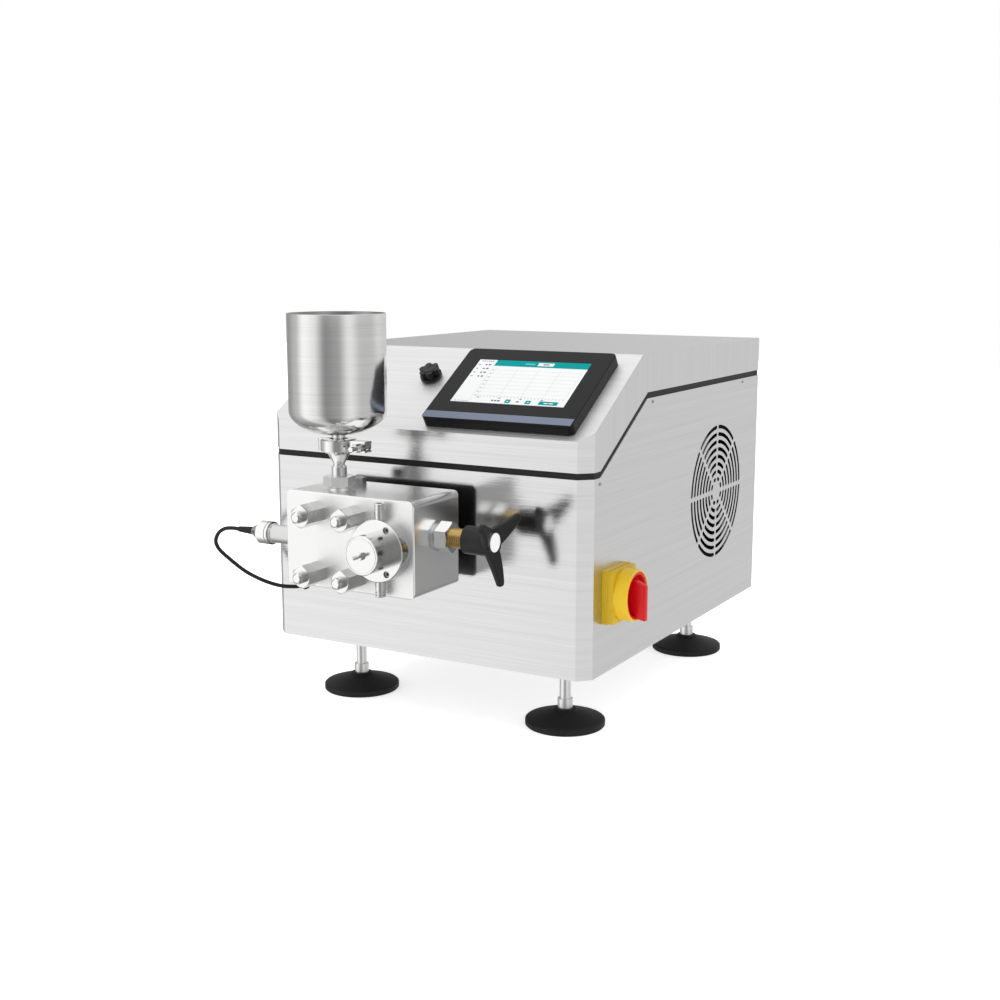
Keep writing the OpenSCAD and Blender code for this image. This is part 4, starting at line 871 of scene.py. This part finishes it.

# %% [markdown]
# The pump block is milled from one piece of steel, with fine upright lines. Its front is the
# brightest face of the machine and a soft one. Its back faces the dark gap before the housing and is
# painted almost black as painted shade, which the front panel also shows as a dark reflection.

# %% Pump block
# The tint of 0.12 paints shade onto the faces that look back, towards the housing.
milled = finish(
    "milled_steel", warm_grey(0.96), warm_grey(1.0), rough=(0.20, 0.26), metal=1.0, pattern=brushed,
    deep=0.0001, mask=facing("Y", 0.3, 0.7), painted_light_tint=0.12, extra_rough=0.2,
    Lines=1400.0, Length=8.0, Upright=1.0,
)
soften_face(milled, facing("Y", -0.3, -0.8), 0.23)
paint(milled, "pump_block", "plunger_housing")
print("painted", milled.name)

# %% [markdown]
# The fittings come from the lathe. Most are polished, with painted shade that makes their right
# sides darker. The inlet and the screws of the feet are satin, the sensor's body is duller, the
# washer under the handle is grey, and small screws are plain.

# %% Fittings
# The tint of 0.60 paints shade onto the faces that look right.
polished = finish(
    "polished_steel", warm_grey(0.80), warm_grey(0.88), rough=(0.11, 0.17), metal=1.0,
    pattern=turned, bump=0.006, deep=0.00002, mask=facing("X", 0.25, 0.70), painted_light_tint=0.60,
    extra_rough=0.05,
)
paint(polished, "plunger", "tie_studs", "stud_nuts", "thrust_rod", "spindle_nut", "sensor_union")
paint(polished, "valve_flange", "valve_cap", "cap_nipple", "valve_nozzles")
paint(polished, "inlet_adapter", "clamp_jaws", "clamp_bolt", "wing_nut")


def turned_steel(name, dark, light, rough, bump, deep):
    return finish(name, dark, light, rough, 1.0, turned, bump, deep)


satin = turned_steel("satin_steel", warm_grey(0.84), warm_grey(0.93), (0.30, 0.38), 0.01, 0.00002)
paint(satin, "inlet_union", "inlet_nut", "foot_screws")
dull = turned_steel("dull_steel", warm_grey(0.64), warm_grey(0.73), (0.26, 0.34), 0.01, 0.00002)
paint(dull, "sensor_body")
washer = turned_steel("grey_steel", grey(0.46), warm_grey(0.56), (0.16, 0.24), 0.02, 0.00004)
paint(washer, "spindle_washer")
plain = turned_steel("plain_steel", grey(0.30), grey(0.44), (0.22, 0.36), 0.06, 0.00006)
paint(plain, "side_screws", "flange_screws", "knob_bush", "delivery_plug")
print("painted", [steel.name for steel in (polished, satin, dull, washer, plain)])

# %% [markdown]
# The hopper is rolled and polished. Light hardly reaches into it, so a mask finds its inside, by
# the distance from the axis, and makes it darker. In the dish only faces that look up belong to
# the inside. The spindle is brass with its thread.

# %% Hopper and spindle
inner_edge = 0.0567
dish_top = dish_low + dish_height
looks_up = 0.02


def squared_way(tree, value, middle):
    return calc(tree, "POWER", calc(tree, "SUBTRACT", value, middle), 2.0)


def inside_cup(tree):
    place = tree.nodes.new("ShaderNodeTexCoord").outputs
    x, y, z = split(tree, place["Object"])
    x_way, y_way = squared_way(tree, x, cup_axis.x), squared_way(tree, y, cup_axis.y)
    way = calc(tree, "SQRT", calc(tree, "ADD", x_way, y_way))
    wall = calc(tree, "GREATER_THAN", z, dish_top)
    upward = calc(tree, "GREATER_THAN", split(tree, place["Normal"])["Z"], looks_up)
    within = calc(tree, "LESS_THAN", way, inner_edge)
    return calc(tree, "MULTIPLY", within, calc(tree, "MAXIMUM", wall, upward))


rolled = finish(
    "rolled_steel", warm_grey(0.62), warm_grey(0.92), rough=(0.12, 0.18), metal=1.0, pattern=brushed,
    bump=0.14, deep=0.0001, mask=inside_cup, painted_light_tint=0.40, extra_rough=0.1, Lines=1300.0, Length=6.0,
)
paint(rolled, "hopper_cup")
# Darker brass in the thread's valleys is painted shade.
brass = finish(
    "turned_brass", (0.38, 0.235, 0.064), (0.78, 0.56, 0.23), rough=(0.16, 0.28), metal=1.0,
    pattern=threads, bump=0.25, deep=0.0003,
)
paint(brass, "brass_spindle")
print("painted", rolled.name, "and", brass.name)

# %% [markdown]
# The frame of the panel, the knob and the handle are black moulded plastic with a fine grain. The
# fan is only seen as darkness behind the vent: its black is partly its own and partly painted shade,
# so it is darker and duller than the moulding. Foot pads, gasket, cable and grommet are rubber,
# duller and a touch lighter.

# %% Black plastic and rubber
moulding = finish("black_moulding", (0.003, 0.003, 0.0032), (0.009, 0.009, 0.0095), (0.34, 0.46))
low_shine(0.35, moulding)
paint(moulding, "control_knob", "winged_handle", "mains_gland")
panel_black = finish(
    "panel_black", (0.003, 0.003, 0.0035), (0.008, 0.008, 0.0085), (0.24, 0.32),
    bump=0.03, deep=0.00005,
)
low_shine(0.14, panel_black)
paint(panel_black, "hmi_frame")
# The fan's near black with almost no shine is partly painted shade.
fan_shade_black = finish("fan_shade_black", grey(0.001), grey(0.003), (0.6, 0.7))
low_shine(0.03, fan_shade_black)
paint(fan_shade_black, "fan_frame", "fan_rotor")
rubber = finish(
    "black_rubber", grey(0.008), grey(0.022), (0.45, 0.62), bump=0.08, deep=0.0001, Size=1600.0
)
low_shine(0.18, rubber)
paint(rubber, "cover_gasket", "cable_boot", "cable_grommet", "signal_cable")
paint(rubber, "foot_pad_fl", "foot_pad_fr", "foot_pad_rl", "foot_pad_rr")
paint(rubber, "plunger_packing", "drive_belt")
print("painted", [black.name for black in (moulding, panel_black, fan_shade_black, rubber)])

# %% [markdown]
# The main switch has the colours of an emergency switch, a red grip on yellow, and its plate is a
# duller yellow than the collar. The strip under the screen is a grey-blue film.

# %% Switch and strip
yellow = finish("switch_yellow", (0.58, 0.37, 0.009), (0.70, 0.48, 0.018), (0.28, 0.40))
paint(yellow, "switch_collar")
plate_yellow = finish("plate_yellow", (0.50, 0.315, 0.010), (0.60, 0.405, 0.018), (0.34, 0.46))
paint(plate_yellow, "switch_plate")
red = finish(
    "switch_red", (0.48, 0.0015, 0.004), (0.60, 0.004, 0.008), (0.22, 0.34), bump=0.04, deep=0.00006
)
paint(red, "switch_grip")
low_shine(0.3, yellow, plate_yellow, red)
film = finish(
    "grey_blue_film", (0.085, 0.105, 0.155), (0.115, 0.14, 0.195), (0.35, 0.45),
    bump=0.03, deep=0.00005,
)
paint(film, "hmi_strip")
print("painted", [colour.name for colour in (yellow, plate_yellow, red, film)])

# %% [markdown]
# Three more finishes are left: the plain white disc on the handle, the white seal in the clamp and
# the coarse grey castings of the drive inside the housing.

# %% Whites and castings
white = finish("white_inset", grey(0.82), grey(0.90), (0.25, 0.35), bump=0.02, deep=0.00004)
paint(white, "handle_inset")
seal = finish("white_seal", (0.72, 0.71, 0.68), (0.82, 0.81, 0.78), (0.45, 0.55))
paint(seal, "clamp_seal")
casting = finish(
    "grey_casting", (0.12, 0.13, 0.14), (0.19, 0.20, 0.22), (0.45, 0.60),
    bump=0.25, deep=0.0004, Size=700.0,
)
paint(casting, "crankcase", "motor", "crank_pulley", "motor_pulley")
print("painted", white.name, seal.name, "and", casting.name)

# %% [markdown]
# The page glows: its tiles give off their own colour, as a lit display does under smooth glass.
# When every tile has its colour, all are joined into one page and moved onto the slope. The
# polished steel near it reflects the dark frame and not the page, so the page is hidden from
# reflections.

# %% Page colours
page_glow = 0.42


def lit(name, dark, light):
    material = finish(
        "page_" + name, dark, light, (0.12, 0.16), bump=0.0, deep=0.00001, Size=900.0
    )
    shader = shader_of(material)
    colour = shader["Base Color"].links[0].from_socket
    material.node_tree.links.new(colour, shader["Emission Color"])
    shader["Emission Strength"].default_value = page_glow
    low_shine(0.02, material)
    return material


page_colours = {
    "paper": lit("paper", (0.47, 0.48, 0.48), (0.50, 0.505, 0.505)),
    "teal": lit("teal", (0.001, 0.165, 0.165), (0.002, 0.19, 0.19)),
    "mark": lit("mark", (0.06, 0.065, 0.07), (0.08, 0.085, 0.09)),
    "faint": lit("faint", (0.16, 0.17, 0.175), (0.19, 0.20, 0.205)),
    "grid": lit("grid", (0.31, 0.32, 0.325), (0.34, 0.35, 0.355)),
    "pale": lit("pale", (0.10, 0.28, 0.265), (0.12, 0.31, 0.295)),
}
for kind, obj in tiles:
    obj.data.materials.append(page_colours[kind])
page = join("screen_page", [obj for kind, obj in tiles])
page.data.transform(page_frame)
page.data.update()
take(page)
bpy.ops.object.shade_smooth_by_angle(angle=math.radians(30))
page.visible_glossy = False
stand_in(page, "housing", "screen", "hmi_screen")
print("page has", len(page.data.polygons), "faces")

# %% [markdown]
# ## Studio
# Polished steel shows its surroundings, so the studio is part of the finish. Its walls are a soft
# ring of light and dark: bright in front on the left, darker in front on the right, bright again
# on the right. The ring is a colour ramp over the angle around the machine, where zero is
# straight in front.

# %% Studio walls
# Angle in degrees and brightness
walls = [
    (-180, 0.60), (-110, 0.30), (-75, 0.50), (-46, 1.0), (-36, 0.95), (-22, 0.84), (10, 0.26),
    (36, 0.34), (66, 0.80), (95, 0.52), (120, 0.52), (150, 0.68), (180, 0.60),
]

world = bpy.data.worlds.new("studio")
scene.world = world
world.use_nodes = True
studio = world.node_tree
studio.nodes.clear()
x, y, z = split(studio, studio.nodes.new("ShaderNodeTexCoord").outputs["Generated"])
around = calc(studio, "ARCTAN2", x, calc(studio, "MULTIPLY", y, -1.0))
ring = studio.nodes.new("ShaderNodeValToRGB")
ring.color_ramp.interpolation = "EASE"
studio.links.new(calc(studio, "MULTIPLY_ADD", around, 1 / math.tau, 0.5), ring.inputs["Fac"])
stops = ring.color_ramp.elements
for angle, level in walls[1:-1]:
    stops.new((angle + 180) / 360)
for stop, (angle, level) in zip(stops, walls):
    stop.position = (angle + 180) / 360
    stop.color = (level, level, level, 1)
print("studio ring with", len(stops), "levels")

# %% [markdown]
# Above the walls a white ceiling fades in, and towards the floor the light gets weaker. The
# camera itself sees plain white, as in a picture on a white page. A light path node tells its
# rays from all others.

# %% Ceiling, ground and white background
white_light = (1, 1, 1, 1)

ceiling = ranged(studio, z, low=0.30, high=0.85)
ground = ranged(studio, z, low=-0.95, high=-0.45, to_low=0.75, to_high=1.19)
room = studio.nodes.new("ShaderNodeBackground")
room_colour = mix_colours(studio, ceiling, ring.outputs["Color"], white_light)
feed(studio, (room.inputs["Color"], room.inputs["Strength"]), (room_colour, ground))
backdrop = studio.nodes.new("ShaderNodeBackground")
backdrop.inputs["Color"].default_value = white_light
path = studio.nodes.new("ShaderNodeLightPath")
shown = studio.nodes.new("ShaderNodeMixShader")
feed(studio, shown.inputs, (path.outputs["Is Camera Ray"], room.outputs[0], backdrop.outputs[0]))
out = studio.nodes.new("ShaderNodeOutputWorld")
studio.links.new(shown.outputs[0], out.inputs["Surface"])
scene.view_settings.view_transform = "Standard"
print("studio with", len(studio.nodes), "nodes")

# %% [markdown]
# A large soft lamp hangs above the left front and gives the shadows their direction. The floor is
# pale and plain and glows a little, so that it stays as white as the background. Both are hidden
# from reflections, because the ring already is what the steel shows.

# %% Lamp
lamp_data = bpy.data.lights.new("soft_lamp", "AREA")
lamp_data.shape = "RECTANGLE"
lamp_data.size = 2.4
lamp_data.size_y = 2.0
lamp_data.energy = 32
lamp = bpy.data.objects.new("soft_lamp", lamp_data)
lamp.location = (-0.5, -0.6, 2.2)
lamp.rotation_euler = (math.radians(12), math.radians(-10), 0)
lamp.visible_glossy = False
scene.collection.objects.link(lamp)
print("lamp of", lamp_data.energy, "watts")

# %% Floor
floor_size = 12
floor_glow = 0.62

clear_selection()
bpy.ops.mesh.primitive_plane_add(size=floor_size, location=(0, 0, 0))
floor = new_piece("studio_floor")
floor.visible_glossy = False
pale = finish("pale_floor", grey(0.93), grey(0.96), (0.75, 0.85), bump=0.0, deep=0.0001, Size=40.0)
shader_of(pale)["Emission Color"].default_value = white_light
shader_of(pale)["Emission Strength"].default_value = floor_glow
paint(pale, "studio_floor")
print("floor of", floor_size, "m")

# %% [markdown]
# ## Last update
# The view layer is updated once more, so that every piece's place is current.

# %% Update the view layer
bpy.context.view_layer.update()
